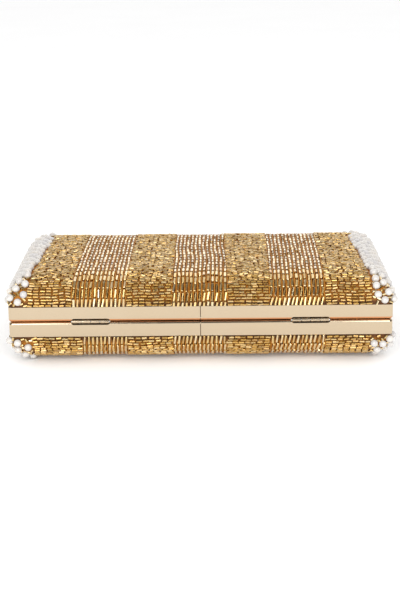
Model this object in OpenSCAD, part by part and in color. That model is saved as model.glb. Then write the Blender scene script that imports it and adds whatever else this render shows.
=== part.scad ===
// Beaded box clutch: a hard evening bag that opens like a book.
// Two shallow halves, each a padded and beaded shell set in a channelled
// metal frame, turn on two small hinges and close with a push-button clasp.
// The bag lies on its back: X is its width, the hinges face -Y, the clasp
// faces +Y, and Z runs up through both halves.

/* [Case] */
// Width over the metal frame
case_w = 200; // [170:1:230]
// Depth over the metal frame, from the hinges to the clasp
case_d = 108; // [92:1:126]
// Height of one half of the frame
frame_h = 8; // [8:0.1:10]
// Rise of each beaded cover above its frame
cover_rise = 15.5; // [13:0.1:20]

/* [Rounding of the covers] */
// How far the rounded edge reaches in before the cover lies flat
crown_run = 23.8; // [18:0.1:30]
// Squareness of the rounded edge: 2 is an ellipse
crown_power = 2.45; // [2:0.05:3]
// Corner radius of a cover next to the frame, seen from above
corner_low = 4; // [3:0.5:6]
// Corner radius of a cover where it lies flat, seen from above
corner_top = 14; // [8:1:20]

/* [Layers of the covers] */
// Thickness of the layer of bugles and beads
bead_t = 2; // [1.5:0.1:2.5]
// How much further the pearls stand out at the two ends
pearl_extra = 1.2; // [0.4:0.1:2]
// Thickness of the cloth that the beads are sewn to
cloth_t = 0.6; // [0.4:0.1:0.8]
// Thickness of the padding over the crown
padding_t = 1.5; // [1:0.1:2.5]
// Thickness of the stiff shell
shell_t = 2; // [1.5:0.1:2.4]
// Thickness of the lining
lining_t = 0.8; // [0.5:0.1:1]

/* [Pattern of the beadwork] */
// Width of each stripe of long bugles
stripe_w = 28; // [20:0.5:34]
// Distance between the middles of neighbouring stripes
stripe_pitch = 51.5; // [40:0.5:60]
// Distance from the middle of the bag to the pearls at each end
pearl_start = 86.5; // [80:0.5:92]

/* [Frame] */
// Thickness of the outer wall and of the web
frame_t = 0.9; // [0.8:0.05:1.2]
// Thickness of the inner wall
inner_wall_t = 0.7; // [0.5:0.05:1]
// Height of the inner wall
inner_wall_h = 7; // [6.5:0.1:7.5]
// Bend radius along the edge where the halves meet
roll_r = 1.3; // [1:0.05:1.6]
// Corner radius of the frame, seen from above
frame_corner = 2; // [1.6:0.1:3]
// Gap between the two closed halves
mate_gap = 0.3; // [0.2:0.05:0.5]
// Width of the butt seam in the middle of the hinge side
seam_w = 0.35; // [0.2:0.05:0.6]

/* [Hinges] */
// Distance of each hinge from the middle of the bag
hinge_x = 57.2; // [40:0.1:75]
// Length of the hinge barrel
barrel_l = 19; // [14:0.5:24]
// Radius of the hinge barrel
barrel_r = 1.05; // [0.9:0.05:1.2]
// Radius of the hinge pin
pin_r = 0.5; // [0.4:0.05:0.6]
// Distance of the hinge pin behind the outer face of the frame
pin_inset = 0.75; // [0.6:0.05:0.9]
// Thickness of the hinge leaves
leaf_t = 0.6; // [0.5:0.05:0.8]

/* [Clasp] */
// Distance from the middle plane to the button
button_drop = 4.7; // [4.4:0.1:5]
// Radius of the button cap
button_r = 2.4; // [2:0.1:2.6]
// Travel of the button
button_travel = 1.2; // [0.8:0.1:1.4]
// Radius of the bolt's stem
stem_r = 1.1; // [0.9:0.05:1.2]
// Width of the bolt's arm
arm_w = 4.4; // [3:0.1:5]

/* [Pocket] */
// From the ends of the lining's flat floor to the sides of the slip pocket
pocket_side_gap = 25.3; // [5:0.1:40]
// From the hinge side of the flat floor to the foot of the pocket
pocket_foot_gap = 6.3; // [1:0.1:12]
// From the clasp side of the flat floor to the mouth of the pocket
pocket_mouth_gap = 10.3; // [1:0.1:16]

/* [Display] */
// Sub-part to draw, or "all"

/* [Hidden] */

// Clearances
lay = 0.05;          // between layers that lie on each other
wall_gap = 0.1;      // between the shell, the inner wall and the lining
run_gap = 0.05;      // round a shaft that turns or slides
knuckle_gap = 0.3;   // between neighbouring knuckles
cut = 1;             // how far a cutting shape reaches past what it cuts

// Distances in from the outer face of the frame
cloth_q = frame_t + lay;
bead_q = cloth_q - lay - bead_t;
shell_q = cloth_q + cloth_t + 2 * lay;
inner_wall_q = shell_q + shell_t + wall_gap;
frame_q = inner_wall_q + inner_wall_t;
lining_q = frame_q + wall_gap;
flat_q = bead_q + crown_run;

// Heights above the plane where the halves meet
mate_z = mate_gap / 2;
web_top = mate_z + frame_t;
hem_z = 3;
shell_rim_z = 2.2;
lining_rim_z = 0.35;
padding_z = frame_h + 6;
bead_top = frame_h + cover_rise;
cloth_top = bead_top - bead_t - lay;
padding_top = cloth_top - cloth_t - lay;
shell_top = padding_top - padding_t - lay;
lining_top = shell_top - shell_t - lay;
z_mid = bead_top;

// Rounding
corner_min = 0.2;
crown_steps = 8;
corner_steps = 6;

// Hinges
pin_y = -case_d / 2 + pin_inset;
knuckles = 4;
knuckle_l = (barrel_l - (knuckles - 1) * knuckle_gap) / knuckles;
pin_head_r = pin_r + 0.25;
pin_head_l = 0.35;
pin_bore_r = pin_r + run_gap;
notch_w = barrel_l + 1.6;
notch_r = barrel_r + 0.65;
notch_q = 2.6;
leaf_z = web_top + lay;
leaf_q = inner_wall_q - 0.15;
leaf_edge_q = notch_q - 0.15;
hinge_rivet_q = notch_q + 0.4;
hinge_rivet_x = barrel_l / 2 - 3.5;
hinge_rivet_r = 0.4;
hinge_rivet_head_r = 0.65;
hinge_rivet_head_t = 0.35;

// Joint plate behind the butt seam
joint_plate_w = 20;
joint_plate_t = 0.7;

// Clasp, with its own distances in from the frame
guide_w = 9.8;
guide_t = 0.85;
guide_h = 7.7;
guide_z = 0.5;
guide_q = frame_q + lay;
guide_end_q = guide_q + guide_t;
striker_w = 9.8;
striker_t = 0.8;
striker_h = 5.5;
striker_end_q = guide_q + striker_t;
window_w = 3.8;
window_low = 1.5;
window_high = 3.2;
nose_w = 3.2;
nose_gap = 0.15;
nose_l = 0.9;
nose_low = 1.7;
nose_mid = 2.2;
nose_high = 2.9;
nose_q = striker_end_q + nose_gap;
arm_q = nose_q + nose_l;
arm_t = 1;
arm_over = 1.8;
stem_hole_r = stem_r + 0.15;
clip_r = 1.9;
clip_t = 0.4;
clip_q = frame_t + lay;
cap_rise = button_travel + 0.15;
cap_t = 1;
cap_bevel = 0.4;
cap_wall = 0.25;
bezel_t = 0.6;
bezel_gap = 0.15;
bezel_w = 0.65;
clasp_rivet_r = 0.55;
clasp_rivet_head_r = 1;
clasp_rivet_head_t = 0.35;
clasp_rivet_x = 3.6;
shaft_gap = 0.02;
spring_wire_r = 0.12;
spring_r = stem_hole_r + 0.3;
spring_turns = 4;
spring_steps = 16;
spring_sides = 8;
clasp_cut_w = 8;
clasp_cut_top = 7.4;
notch_side = 0.2;

// Pocket
pocket_w = case_w - 2 * (flat_q + pocket_side_gap);
pocket_d = case_d - 2 * flat_q - pocket_foot_gap - pocket_mouth_gap;
pocket_y = (pocket_foot_gap - pocket_mouth_gap) / 2;
pocket_t = 0.9;
pocket_r = 4;

metal = [0.85, 0.72, 0.56];
gold = [0.86, 0.66, 0.24];
pearl = [0.96, 0.92, 0.83];
gold_cloth = [0.63, 0.43, 0.13];
satin = [0.90, 0.82, 0.66];
steel = [0.75, 0.75, 0.76];
board = [0.55, 0.47, 0.38];
wadding = [0.95, 0.94, 0.90];

// ---------------------------------------------------------------- helpers

// Puts a shape drawn upwards from the meeting plane into the front half.
module in_front() {
    translate([0, 0, z_mid]) children();
}

// Puts a shape drawn upwards from the meeting plane into the back half.
module in_back() {
    translate([0, 0, z_mid]) mirror([0, 0, 1]) children();
}

// One closed ring of points, a rectangle with round corners.
function ring(qx, qy, r, z) = [
    for (c = [0:3]) for (k = [0:corner_steps])
        let (a = 90 * (c + k / corner_steps))
        let (sx = (c == 0 || c == 3) ? 1 : -1)
        let (sy = (c < 2) ? 1 : -1)
        [
            sx * (case_w / 2 - qx - r) + r * cos(a),
            sy * (case_d / 2 - qy - r) + r * sin(a),
            z
        ]
];

// How far the crown still reaches out, from 1 at the frame to 0 where it is flat.
function crown_out(i) = pow(cos(90 * i / crown_steps), 2 / crown_power);

// How far the crown has risen, from 0 at the frame to 1 where it is flat.
function crown_up(i) = pow(sin(90 * i / crown_steps), 2 / crown_power);

// Corner radius next to the frame of a surface that lies q inside it.
function low_radius(q) = max(corner_min, corner_low - (q - bead_q));

// A closed dome: straight walls from z_low up to the frame's edge, then the crown.
module dome(qx, qy, z_low, z_top) {
    r_low = low_radius(qy);
    rings = concat(
        [ring(qx, qy, r_low, z_low)],
        [
            for (i = [0:crown_steps])
                let (u = crown_out(i))
                ring(
                    flat_q - (flat_q - qx) * u,
                    flat_q - (flat_q - qy) * u,
                    corner_top - (corner_top - r_low) * u,
                    frame_h + (z_top - frame_h) * crown_up(i)
                )
        ]
    );
    n = 4 * (corner_steps + 1);
    last = len(rings) - 1;
    polyhedron(
        points = [for (row = rings) for (p = row) p],
        faces = concat(
            [[for (k = [0:n - 1]) k]],
            [[for (k = [n - 1:-1:0]) last * n + k]],
            [
                for (j = [0:last - 1]) for (k = [0:n - 1])
                    [j * n + k, (j + 1) * n + k, (j + 1) * n + (k + 1) % n]
            ],
            [
                for (j = [0:last - 1]) for (k = [0:n - 1])
                    [j * n + k, (j + 1) * n + (k + 1) % n, j * n + (k + 1) % n]
            ]
        )
    );
}

// A curved layer between two domes.
module layer(q_out, top_out, q_in, top_in, z_low) {
    difference() {
        dome(q_out, q_out, z_low, top_out);
        dome(q_in, q_in, z_low - cut, top_in);
    }
}

// A tall slab between two distances along X, above the frame.
module slab(x_low, x_high) {
    translate([x_low, -case_d, frame_h + lay])
        cube([x_high - x_low, 2 * case_d, cover_rise + cut]);
}

// Repeats a shape at both ends of the bag.
module both_ends() {
    children();
    mirror([1, 0, 0]) children();
}

// A cylinder along X whose middle is at the origin.
module bar_x(r, l) {
    rotate([0, 90, 0]) cylinder(r = r, h = l, center = true, $fn = 48);
}

// A cylinder along Y between two distances in from the clasp side.
module bar_y(r, q_out, q_in) {
    translate([0, case_d / 2 - q_out, 0])
        rotate([90, 0, 0])
        cylinder(r = r, h = q_in - q_out, $fn = 48);
}

// A block on the clasp side, between two distances in from the frame.
module clasp_block(w, q_out, q_in, z_low, z_high) {
    translate([-w / 2, case_d / 2 - q_in, z_low])
        cube([w, q_in - q_out, z_high - z_low]);
}

// Extrudes a profile drawn in Y and Z along X.
module along_x(l) {
    rotate([90, 0, 90]) translate([0, 0, -l / 2]) linear_extrude(height = l) children();
}

// ------------------------------------------------------------------ frame

// Section of the outer wall and the edge of the web: x is the distance in.
module rim_section() {
    difference() {
        union() {
            intersection() {
                translate([roll_r, mate_z + roll_r]) circle(r = roll_r, $fn = 48);
                translate([0, mate_z]) square([roll_r, roll_r]);
            }
            translate([0, mate_z + roll_r]) square([roll_r, frame_h - mate_z - roll_r]);
            translate([roll_r, mate_z]) square([frame_corner - roll_r, frame_t]);
        }
        translate([frame_t, web_top]) square([2 * frame_corner, frame_h]);
    }
}

// A straight run of the rim along X, on the hinge side.
module rim_run(l, side) {
    translate([0, -side / 2, 0]) along_x(l) rim_section();
}

// A quarter turn of the rim at the corner in -X, -Y.
module rim_corner() {
    translate([-case_w / 2 + frame_corner, -case_d / 2 + frame_corner, 0])
        rotate([0, 0, 180])
        rotate_extrude(angle = 90, $fn = 96)
        translate([frame_corner, 0])
        mirror([1, 0])
        rim_section();
}

// A flat rectangular ring between two distances in from the frame.
module flat_ring(q_out, q_in, z_low, z_high) {
    difference() {
        translate([-case_w / 2 + q_out, -case_d / 2 + q_out, z_low])
            cube([case_w - 2 * q_out, case_d - 2 * q_out, z_high - z_low]);
        translate([-case_w / 2 + q_in, -case_d / 2 + q_in, z_low - cut])
            cube([case_w - 2 * q_in, case_d - 2 * q_in, z_high - z_low + 2 * cut]);
    }
}

// The bent channel before anything is cut into it.
module channel() {
    union() {
        rim_run(case_w - 2 * frame_corner, case_d);
        mirror([0, 1, 0]) rim_run(case_w - 2 * frame_corner, case_d);
        rotate([0, 0, 90]) rim_run(case_d - 2 * frame_corner, case_w);
        rotate([0, 0, -90]) rim_run(case_d - 2 * frame_corner, case_w);
        rim_corner();
        mirror([1, 0, 0]) rim_corner();
        mirror([0, 1, 0]) rim_corner();
        mirror([1, 0, 0]) mirror([0, 1, 0]) rim_corner();
        flat_ring(frame_corner, frame_q, mate_z, web_top);
        flat_ring(inner_wall_q, frame_q, mate_z, inner_wall_h);
    }
}

// The round-ended opening that a hinge barrel sits in.
module hinge_notch() {
    notch_l = notch_q + 2 * cut;
    translate([0, -case_d / 2 - 2 * cut, 0]) {
        translate([-notch_w / 2 + notch_r, 0, -notch_r])
            cube([notch_w - 2 * notch_r, notch_l, 2 * notch_r]);
        for (s = [-1, 1])
            translate([s * (notch_w / 2 - notch_r), 0, 0])
                rotate([-90, 0, 0])
                cylinder(r = notch_r, h = notch_l, $fn = 48);
    }
}

// Places a shape at both rivets of one hinge leaf.
module at_hinge_rivets() {
    for (s = [-1, 1])
        translate([s * hinge_rivet_x, -case_d / 2 + hinge_rivet_q, 0]) children();
}

// Frame of one half, with its hinge notches and its butt seam.
module frame_half() {
    difference() {
        channel();
        for (s = [-1, 1])
            translate([s * hinge_x, 0, 0]) {
                hinge_notch();
                at_hinge_rivets()
                    cylinder(r = hinge_rivet_r + shaft_gap, h = web_top + cut, $fn = 32);
            }
        translate([-seam_w / 2, -case_d / 2 - cut, -cut])
            cube([seam_w, frame_q + 2 * cut, frame_h + 2 * cut]);
    }
}

// Places a shape at both rivets of the guide or the striker.
module at_clasp_rivets(z) {
    for (s = [-1, 1]) translate([s * clasp_rivet_x, 0, z]) children();
}

clasp_rivet_front_z = window_high + 1.3;

module front_frame() {
    color(metal) in_front() difference() {
        frame_half();
        at_clasp_rivets(clasp_rivet_front_z)
            bar_y(clasp_rivet_r + shaft_gap, inner_wall_q - cut, frame_q + cut);
    }
}

module back_frame() {
    color(metal) in_back() difference() {
        frame_half();
        translate([0, 0, button_drop]) {
            bar_y(stem_hole_r, -cut, frame_t + cut / 2);
            bar_y(stem_hole_r, inner_wall_q - cut / 2, frame_q + cut);
        }
        at_clasp_rivets(button_drop)
            bar_y(clasp_rivet_r + shaft_gap, inner_wall_q - cut, frame_q + cut);
    }
}

// The strip soldered behind the butt seam.
module joint_plate() {
    translate([-joint_plate_w / 2, -case_d / 2 + cloth_q + lay, leaf_z])
        cube([joint_plate_w, leaf_q - cloth_q - lay, joint_plate_t]);
}

module front_joint_plate() {
    color(metal) in_front() joint_plate();
}

module back_joint_plate() {
    color(metal) in_back() joint_plate();
}

// ----------------------------------------------------------------- covers

module shell_half() {
    layer(shell_q, shell_top, shell_q + shell_t, shell_top - shell_t, shell_rim_z);
}

module cloth_half() {
    layer(cloth_q, cloth_top, cloth_q + cloth_t, cloth_top - cloth_t, hem_z);
}

// Padding lies over the crown only: at the frame the cloth is drawn tight.
module padding_half() {
    q = shell_q - lay;
    difference() {
        layer(q, padding_top, q, padding_top - padding_t, frame_h - cut);
        translate([-case_w, -case_d, -cut]) cube([2 * case_w, 2 * case_d, padding_z + cut]);
    }
}

module lining_half() {
    layer(lining_q, lining_top, lining_q + lining_t, lining_top - lining_t, lining_rim_z);
}

// Room for the spring and its clip in the back half's channel.
module clasp_cut() {
    clasp_block(clasp_cut_w, cloth_q - cut / 2, inner_wall_q, 0, clasp_cut_top);
}

module front_shell() {
    color(board) in_front() shell_half();
}

module back_shell() {
    color(board) in_back() difference() {
        shell_half();
        clasp_cut();
    }
}

module front_padding() {
    color(wadding) in_front() padding_half();
}

module back_padding() {
    color(wadding) in_back() padding_half();
}

module front_cloth() {
    color(gold_cloth) in_front() cloth_half();
}

module back_cloth() {
    color(gold_cloth) in_back() difference() {
        cloth_half();
        clasp_cut();
    }
}

module front_lining() {
    color(satin) in_front() difference() {
        lining_half();
        clasp_block(
            striker_w + 2 * notch_side, frame_q, lining_q + lining_t + cut,
            0, guide_z + striker_h + notch_side
        );
    }
}

module back_lining() {
    color(satin) in_back() difference() {
        lining_half();
        clasp_block(
            guide_w + 2 * notch_side, frame_q, lining_q + lining_t + cut,
            0, guide_z + guide_h + notch_side
        );
    }
}

// A flat slip pocket on the floor of the back lining.
module back_pocket() {
    top = lining_top - lining_t - lay;
    color(satin) in_back()
        translate([0, pocket_y, top - pocket_t]) {
            linear_extrude(height = pocket_t) union() {
                square([pocket_w, pocket_d - 2 * pocket_r], center = true);
                square([pocket_w - 2 * pocket_r, pocket_d], center = true);
                for (sx = [-1, 1]) for (sy = [-1, 1])
                    translate([sx * (pocket_w / 2 - pocket_r), sy * (pocket_d / 2 - pocket_r)])
                        circle(r = pocket_r, $fn = 48);
            }
        }
}

// --------------------------------------------------------------- beadwork

// The whole layer that the beads make over the cloth of one half.
module bead_layer() {
    layer(bead_q, bead_top, bead_q + bead_t, bead_top - bead_t, frame_h - cut);
}

// Three stripes of long bugles that run from the hinges to the clasp.
module bugle_stripes_half() {
    intersection() {
        bead_layer();
        for (i = [-1:1])
            slab(i * stripe_pitch - stripe_w / 2, i * stripe_pitch + stripe_w / 2);
    }
}

// Bands of short bugles and small beads between the stripes.
module bead_bands_half() {
    intersection() {
        bead_layer();
        both_ends() {
            slab(stripe_w / 2 + lay, stripe_pitch - stripe_w / 2 - lay);
            slab(stripe_pitch + stripe_w / 2 + lay, pearl_start - lay);
        }
    }
}

// Caps of pearls over the two ends.
module pearl_ends_half() {
    intersection() {
        difference() {
            dome(bead_q - pearl_extra, bead_q, frame_h - cut, bead_top);
            dome(bead_q + bead_t, bead_q + bead_t, frame_h - 2 * cut, bead_top - bead_t);
        }
        both_ends() slab(pearl_start, case_w);
    }
}

module front_bugle_stripes() {
    color(gold) in_front() bugle_stripes_half();
}

module back_bugle_stripes() {
    color(gold) in_back() bugle_stripes_half();
}

module front_bead_bands() {
    color(gold) in_front() bead_bands_half();
}

module back_bead_bands() {
    color(gold) in_back() bead_bands_half();
}

module front_pearl_ends() {
    color(pearl) in_front() pearl_ends_half();
}

module back_pearl_ends() {
    color(pearl) in_back() pearl_ends_half();
}

// ----------------------------------------------------------------- hinges

// Middle of knuckle i, counted from -X.
function knuckle_x(i) = -barrel_l / 2 + knuckle_l / 2 + i * (knuckle_l + knuckle_gap);

// Section of a finger that joins a knuckle to its leaf: x is the distance in.
module finger_section() {
    low = barrel_r - leaf_t;
    polygon([
        [pin_inset, low],
        [pin_inset + 0.6, low],
        [leaf_edge_q, leaf_z],
        [leaf_edge_q + leaf_t, leaf_z],
        [leaf_edge_q + leaf_t, leaf_z + leaf_t],
        [leaf_edge_q - 0.2, leaf_z + leaf_t],
        [pin_inset + 0.35, barrel_r],
        [pin_inset, barrel_r]
    ]);
}

// One leaf with every other knuckle, starting at the given one.
module hinge_leaf(first) {
    difference() {
        union() {
            for (i = [first:2:knuckles - 1])
                translate([knuckle_x(i), 0, 0]) {
                    translate([0, pin_y, 0]) bar_x(barrel_r, knuckle_l);
                    translate([0, -case_d / 2, 0]) along_x(knuckle_l) finger_section();
                }
            translate([-barrel_l / 2, -case_d / 2 + leaf_edge_q, leaf_z])
                cube([barrel_l, leaf_q - leaf_edge_q, leaf_t]);
        }
        translate([0, pin_y, 0]) bar_x(pin_bore_r, barrel_l + 2 * cut);
        at_hinge_rivets() cylinder(r = hinge_rivet_r + shaft_gap, h = web_top + 2 * cut, $fn = 32);
    }
}

// The pin with a flattened head at each end.
module hinge_pin() {
    translate([0, pin_y, 0]) {
        bar_x(pin_r, barrel_l + knuckle_gap);
        for (s = [-1, 1])
            translate([s * (barrel_l / 2 + knuckle_gap / 2 + pin_head_l / 2), 0, 0])
                bar_x(pin_head_r, pin_head_l);
    }
}

// The rivets of both leaves of one half.
module hinge_rivets() {
    for (s = [-1, 1])
        translate([s * hinge_x, 0, 0]) at_hinge_rivets() {
            translate([0, 0, mate_z]) cylinder(
                r = hinge_rivet_r, h = leaf_z + leaf_t - mate_z + lay, $fn = 32
            );
            translate([0, 0, leaf_z + leaf_t + lay])
                cylinder(r = hinge_rivet_head_r, h = hinge_rivet_head_t, $fn = 32);
        }
}

module hinge_left_front_leaf() {
    color(metal) in_front() translate([-hinge_x, 0, 0]) hinge_leaf(0);
}

module hinge_right_front_leaf() {
    color(metal) in_front() translate([hinge_x, 0, 0]) hinge_leaf(0);
}

module hinge_left_back_leaf() {
    color(metal) in_back() translate([-hinge_x, 0, 0]) hinge_leaf(1);
}

module hinge_right_back_leaf() {
    color(metal) in_back() translate([hinge_x, 0, 0]) hinge_leaf(1);
}

module hinge_left_pin() {
    color(steel) in_back() translate([-hinge_x, 0, 0]) hinge_pin();
}

module hinge_right_pin() {
    color(steel) in_back() translate([hinge_x, 0, 0]) hinge_pin();
}

module hinge_front_rivets() {
    color(steel) in_front() hinge_rivets();
}

module hinge_back_rivets() {
    color(steel) in_back() hinge_rivets();
}

// ------------------------------------------------------------------ clasp

// Puts a shape drawn round the button's axis into the back half.
module on_button_axis() {
    in_back() translate([0, 0, button_drop]) children();
}

module clasp_bezel() {
    color(metal) on_button_axis() difference() {
        bar_y(button_r + bezel_gap + bezel_w, -bezel_t, -shaft_gap);
        bar_y(button_r + bezel_gap, -bezel_t - cut, cut);
    }
}

// The cap that the finger presses, hollowed for the end of the stem.
module clasp_button() {
    color(metal) on_button_axis() difference() {
        union() {
            bar_y(button_r, -cap_rise - cap_t, -cap_rise);
            translate([0, case_d / 2 + cap_rise + cap_t, 0])
                rotate([-90, 0, 0])
                cylinder(r1 = button_r, r2 = button_r - cap_bevel, h = cap_bevel, $fn = 48);
        }
        bar_y(stem_r + shaft_gap, -cap_rise - cap_t + cap_wall, cut);
    }
}

// The bolt: a stem through the frame, and an arm whose nose meets the striker.
module clasp_bolt() {
    y_arm = case_d / 2 - arm_q;
    color(steel) in_back() union() {
        translate([0, 0, button_drop])
            bar_y(stem_r, -cap_rise - cap_t + cap_wall + lay, arm_q + arm_t / 2);
        along_x(arm_w) polygon([
            [y_arm - arm_t, button_drop + arm_over],
            [y_arm - arm_t, -nose_high],
            [y_arm, -nose_high],
            [y_arm, button_drop + arm_over]
        ]);
        along_x(nose_w) polygon([
            [y_arm - arm_t / 2, -nose_low],
            [y_arm - arm_t / 2, -nose_high],
            [y_arm, -nose_high],
            [y_arm + nose_l, -nose_mid],
            [y_arm + nose_l, -nose_low]
        ]);
    }
}

// The ring that keeps the spring on the stem and stops the bolt.
module clasp_clip() {
    color(steel) on_button_axis() difference() {
        bar_y(clip_r, clip_q, clip_q + clip_t);
        bar_y(stem_r + shaft_gap, 0, clip_q + clip_t + cut);
    }
}

// A coil along Y between two distances in from the clasp side.
module coil(q_out, q_in) {
    rows = spring_turns * spring_steps;
    start = case_d / 2 - q_out - spring_wire_r;
    rise = q_in - q_out - 2 * spring_wire_r;
    polyhedron(
        points = [
            for (i = [0:rows]) for (k = [0:spring_sides - 1])
                let (a = 360 * i / spring_steps)
                let (b = 360 * k / spring_sides)
                let (r = spring_r + spring_wire_r * cos(b))
                [
                    r * cos(a),
                    start - rise * i / rows + spring_wire_r * sin(b),
                    r * sin(a)
                ]
        ],
        faces = concat(
            [[for (k = [spring_sides - 1:-1:0]) k]],
            [[for (k = [0:spring_sides - 1]) rows * spring_sides + k]],
            [
                for (i = [0:rows - 1]) for (k = [0:spring_sides - 1])
                    [
                        i * spring_sides + k,
                        i * spring_sides + (k + 1) % spring_sides,
                        (i + 1) * spring_sides + (k + 1) % spring_sides
                    ]
            ],
            [
                for (i = [0:rows - 1]) for (k = [0:spring_sides - 1])
                    [
                        i * spring_sides + k,
                        (i + 1) * spring_sides + (k + 1) % spring_sides,
                        (i + 1) * spring_sides + k
                    ]
            ]
        )
    );
}

module clasp_spring() {
    color(steel) on_button_axis() coil(clip_q + clip_t + lay, inner_wall_q - lay);
}

// The block that guides the stem inside the back half.
module clasp_guide() {
    color(metal) in_back() difference() {
        clasp_block(guide_w, guide_q, guide_end_q, guide_z, guide_z + guide_h);
        translate([0, 0, button_drop]) bar_y(stem_r + run_gap, guide_q - cut, guide_end_q + cut);
        at_clasp_rivets(button_drop)
            bar_y(clasp_rivet_r + shaft_gap, guide_q - cut, guide_end_q + cut);
    }
}

// The plate in the front half whose window the nose stands in front of.
module clasp_striker() {
    color(metal) in_front() difference() {
        clasp_block(striker_w, guide_q, striker_end_q, guide_z, guide_z + striker_h);
        clasp_block(window_w, guide_q - cut, striker_end_q + cut, window_low, window_high);
        at_clasp_rivets(clasp_rivet_front_z)
            bar_y(clasp_rivet_r + shaft_gap, guide_q - cut, striker_end_q + cut);
    }
}

// Two rivets through the inner wall, headed on the plate they hold.
module clasp_rivets(end_q) {
    bar_y(clasp_rivet_r, inner_wall_q + lay, end_q + lay);
    bar_y(clasp_rivet_head_r, end_q + lay, end_q + lay + clasp_rivet_head_t);
}

module clasp_guide_rivets() {
    color(steel) in_back() at_clasp_rivets(button_drop) clasp_rivets(guide_end_q);
}

module clasp_striker_rivets() {
    color(steel) in_front() at_clasp_rivets(clasp_rivet_front_z) clasp_rivets(striker_end_q);
}

// ------------------------------------------------------------------- draw

front_frame();
front_joint_plate();
front_shell();
front_padding();
front_cloth();
front_bugle_stripes();
front_bead_bands();
front_pearl_ends();
front_lining();
back_frame();
back_joint_plate();
back_shell();
back_padding();
back_cloth();
back_bugle_stripes();
back_bead_bands();
back_pearl_ends();
back_lining();
back_pocket();
hinge_left_front_leaf();
hinge_right_front_leaf();
hinge_left_back_leaf();
hinge_right_back_leaf();
hinge_left_pin();
hinge_right_pin();
hinge_front_rivets();
hinge_back_rivets();
clasp_bezel();
clasp_button();
clasp_bolt();
clasp_clip();
clasp_spring();
clasp_guide();
clasp_guide_rivets();
clasp_striker();
clasp_striker_rivets();
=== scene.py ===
"""Looks of the beaded box clutch: bugle stripes, bead bands, pearl ends, cloth, lining and its set.

The bag lies on its back half. X is its width, the hinges face -Y, the clasp faces +Y and Z is up.
All sizes are in metres. The covers follow the same rounded shape as the case's own layers.
"""

import logging
import math
from collections.abc import Callable, Iterable
from dataclasses import dataclass, field
from enum import Enum

import bmesh
import bpy
import numpy as np
from mathutils import Matrix, Vector


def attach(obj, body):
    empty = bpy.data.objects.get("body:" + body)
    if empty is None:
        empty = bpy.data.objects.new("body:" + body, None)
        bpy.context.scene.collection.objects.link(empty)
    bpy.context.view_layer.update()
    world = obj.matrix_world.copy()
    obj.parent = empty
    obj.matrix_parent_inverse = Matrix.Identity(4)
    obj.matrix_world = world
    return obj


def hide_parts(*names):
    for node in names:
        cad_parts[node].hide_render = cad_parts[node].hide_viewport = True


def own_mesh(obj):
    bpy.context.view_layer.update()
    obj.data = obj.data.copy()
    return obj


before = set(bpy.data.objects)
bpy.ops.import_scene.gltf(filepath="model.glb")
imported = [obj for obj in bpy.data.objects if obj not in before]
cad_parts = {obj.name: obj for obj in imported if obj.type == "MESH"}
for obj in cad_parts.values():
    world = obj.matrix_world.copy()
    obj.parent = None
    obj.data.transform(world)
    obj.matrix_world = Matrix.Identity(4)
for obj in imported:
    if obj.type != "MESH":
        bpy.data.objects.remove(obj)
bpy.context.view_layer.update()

LOG = logging.getLogger("clutch")
MM = 0.001
BAKE_MAP = "OFBake"
BEAD_DATA = "bead"
Array = np.ndarray


class Half(Enum):
    """The two halves of the case: the name of the body, and the way that it rises."""

    FRONT = ("front", 1.0)
    BACK = ("back", -1.0)

    @property
    def body(self) -> str:
        """Name of the body that this half's pieces ride on."""
        return self.value[0]

    @property
    def rise(self) -> float:
        """+1 where the cover rises upwards from the middle plane, -1 where it hangs below."""
        return self.value[1]


class Side(Enum):
    """The two ends of the bag along X."""

    LEFT = -1.0
    RIGHT = 1.0

    @property
    def label(self) -> str:
        """The word used in piece names."""
        return self.name.lower()


# ---------------------------------------------------------------------------------- small helpers


def deselect() -> None:
    """Leaves nothing selected, in object mode."""
    if bpy.context.object and bpy.context.object.mode != "OBJECT":
        bpy.ops.object.mode_set(mode="OBJECT")
    bpy.ops.object.select_all(action="DESELECT")


def edit_all(ob: bpy.types.Object) -> None:
    """Opens only this object in edit mode, with all of its mesh selected."""
    deselect()
    ob.select_set(True)
    bpy.context.view_layer.objects.active = ob
    bpy.ops.object.mode_set(mode="EDIT")
    bpy.ops.mesh.select_all(action="SELECT")


def pick(ob: bpy.types.Object, faces: Callable = None, edges: Callable = None) -> int:
    """Selects faces or edges of the object in edit mode by a test of each one.

    Args:
        ob: The object, which is in edit mode.
        faces: Says of a bmesh face whether it is wanted.
        edges: Says of a bmesh edge whether it is wanted.

    Returns:
        How many faces or edges are now selected.
    """
    bpy.ops.mesh.select_mode(type="FACE" if faces else "EDGE")
    bpy.ops.mesh.select_all(action="DESELECT")
    bm = bmesh.from_edit_mesh(ob.data)
    for item in bm.faces if faces else bm.edges:
        item.select_set(bool((faces or edges)(item)))
    bm.select_flush_mode()
    bmesh.update_edit_mesh(ob.data)
    return sum(item.select for item in (bm.faces if faces else bm.edges))


def unit(v: Array) -> Array:
    """The vectors of an array at length one."""
    return v / np.maximum(np.linalg.norm(v, axis=-1, keepdims=True), 1e-12)


def apply_modifiers(ob: bpy.types.Object) -> None:
    """Applies every modifier of the object, in order.

    Args:
        ob: The object, which becomes the active one.
    """
    deselect()
    ob.select_set(True)
    bpy.context.view_layer.objects.active = ob
    for name in [m.name for m in ob.modifiers]:
        bpy.ops.object.modifier_apply(modifier=name)


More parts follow.
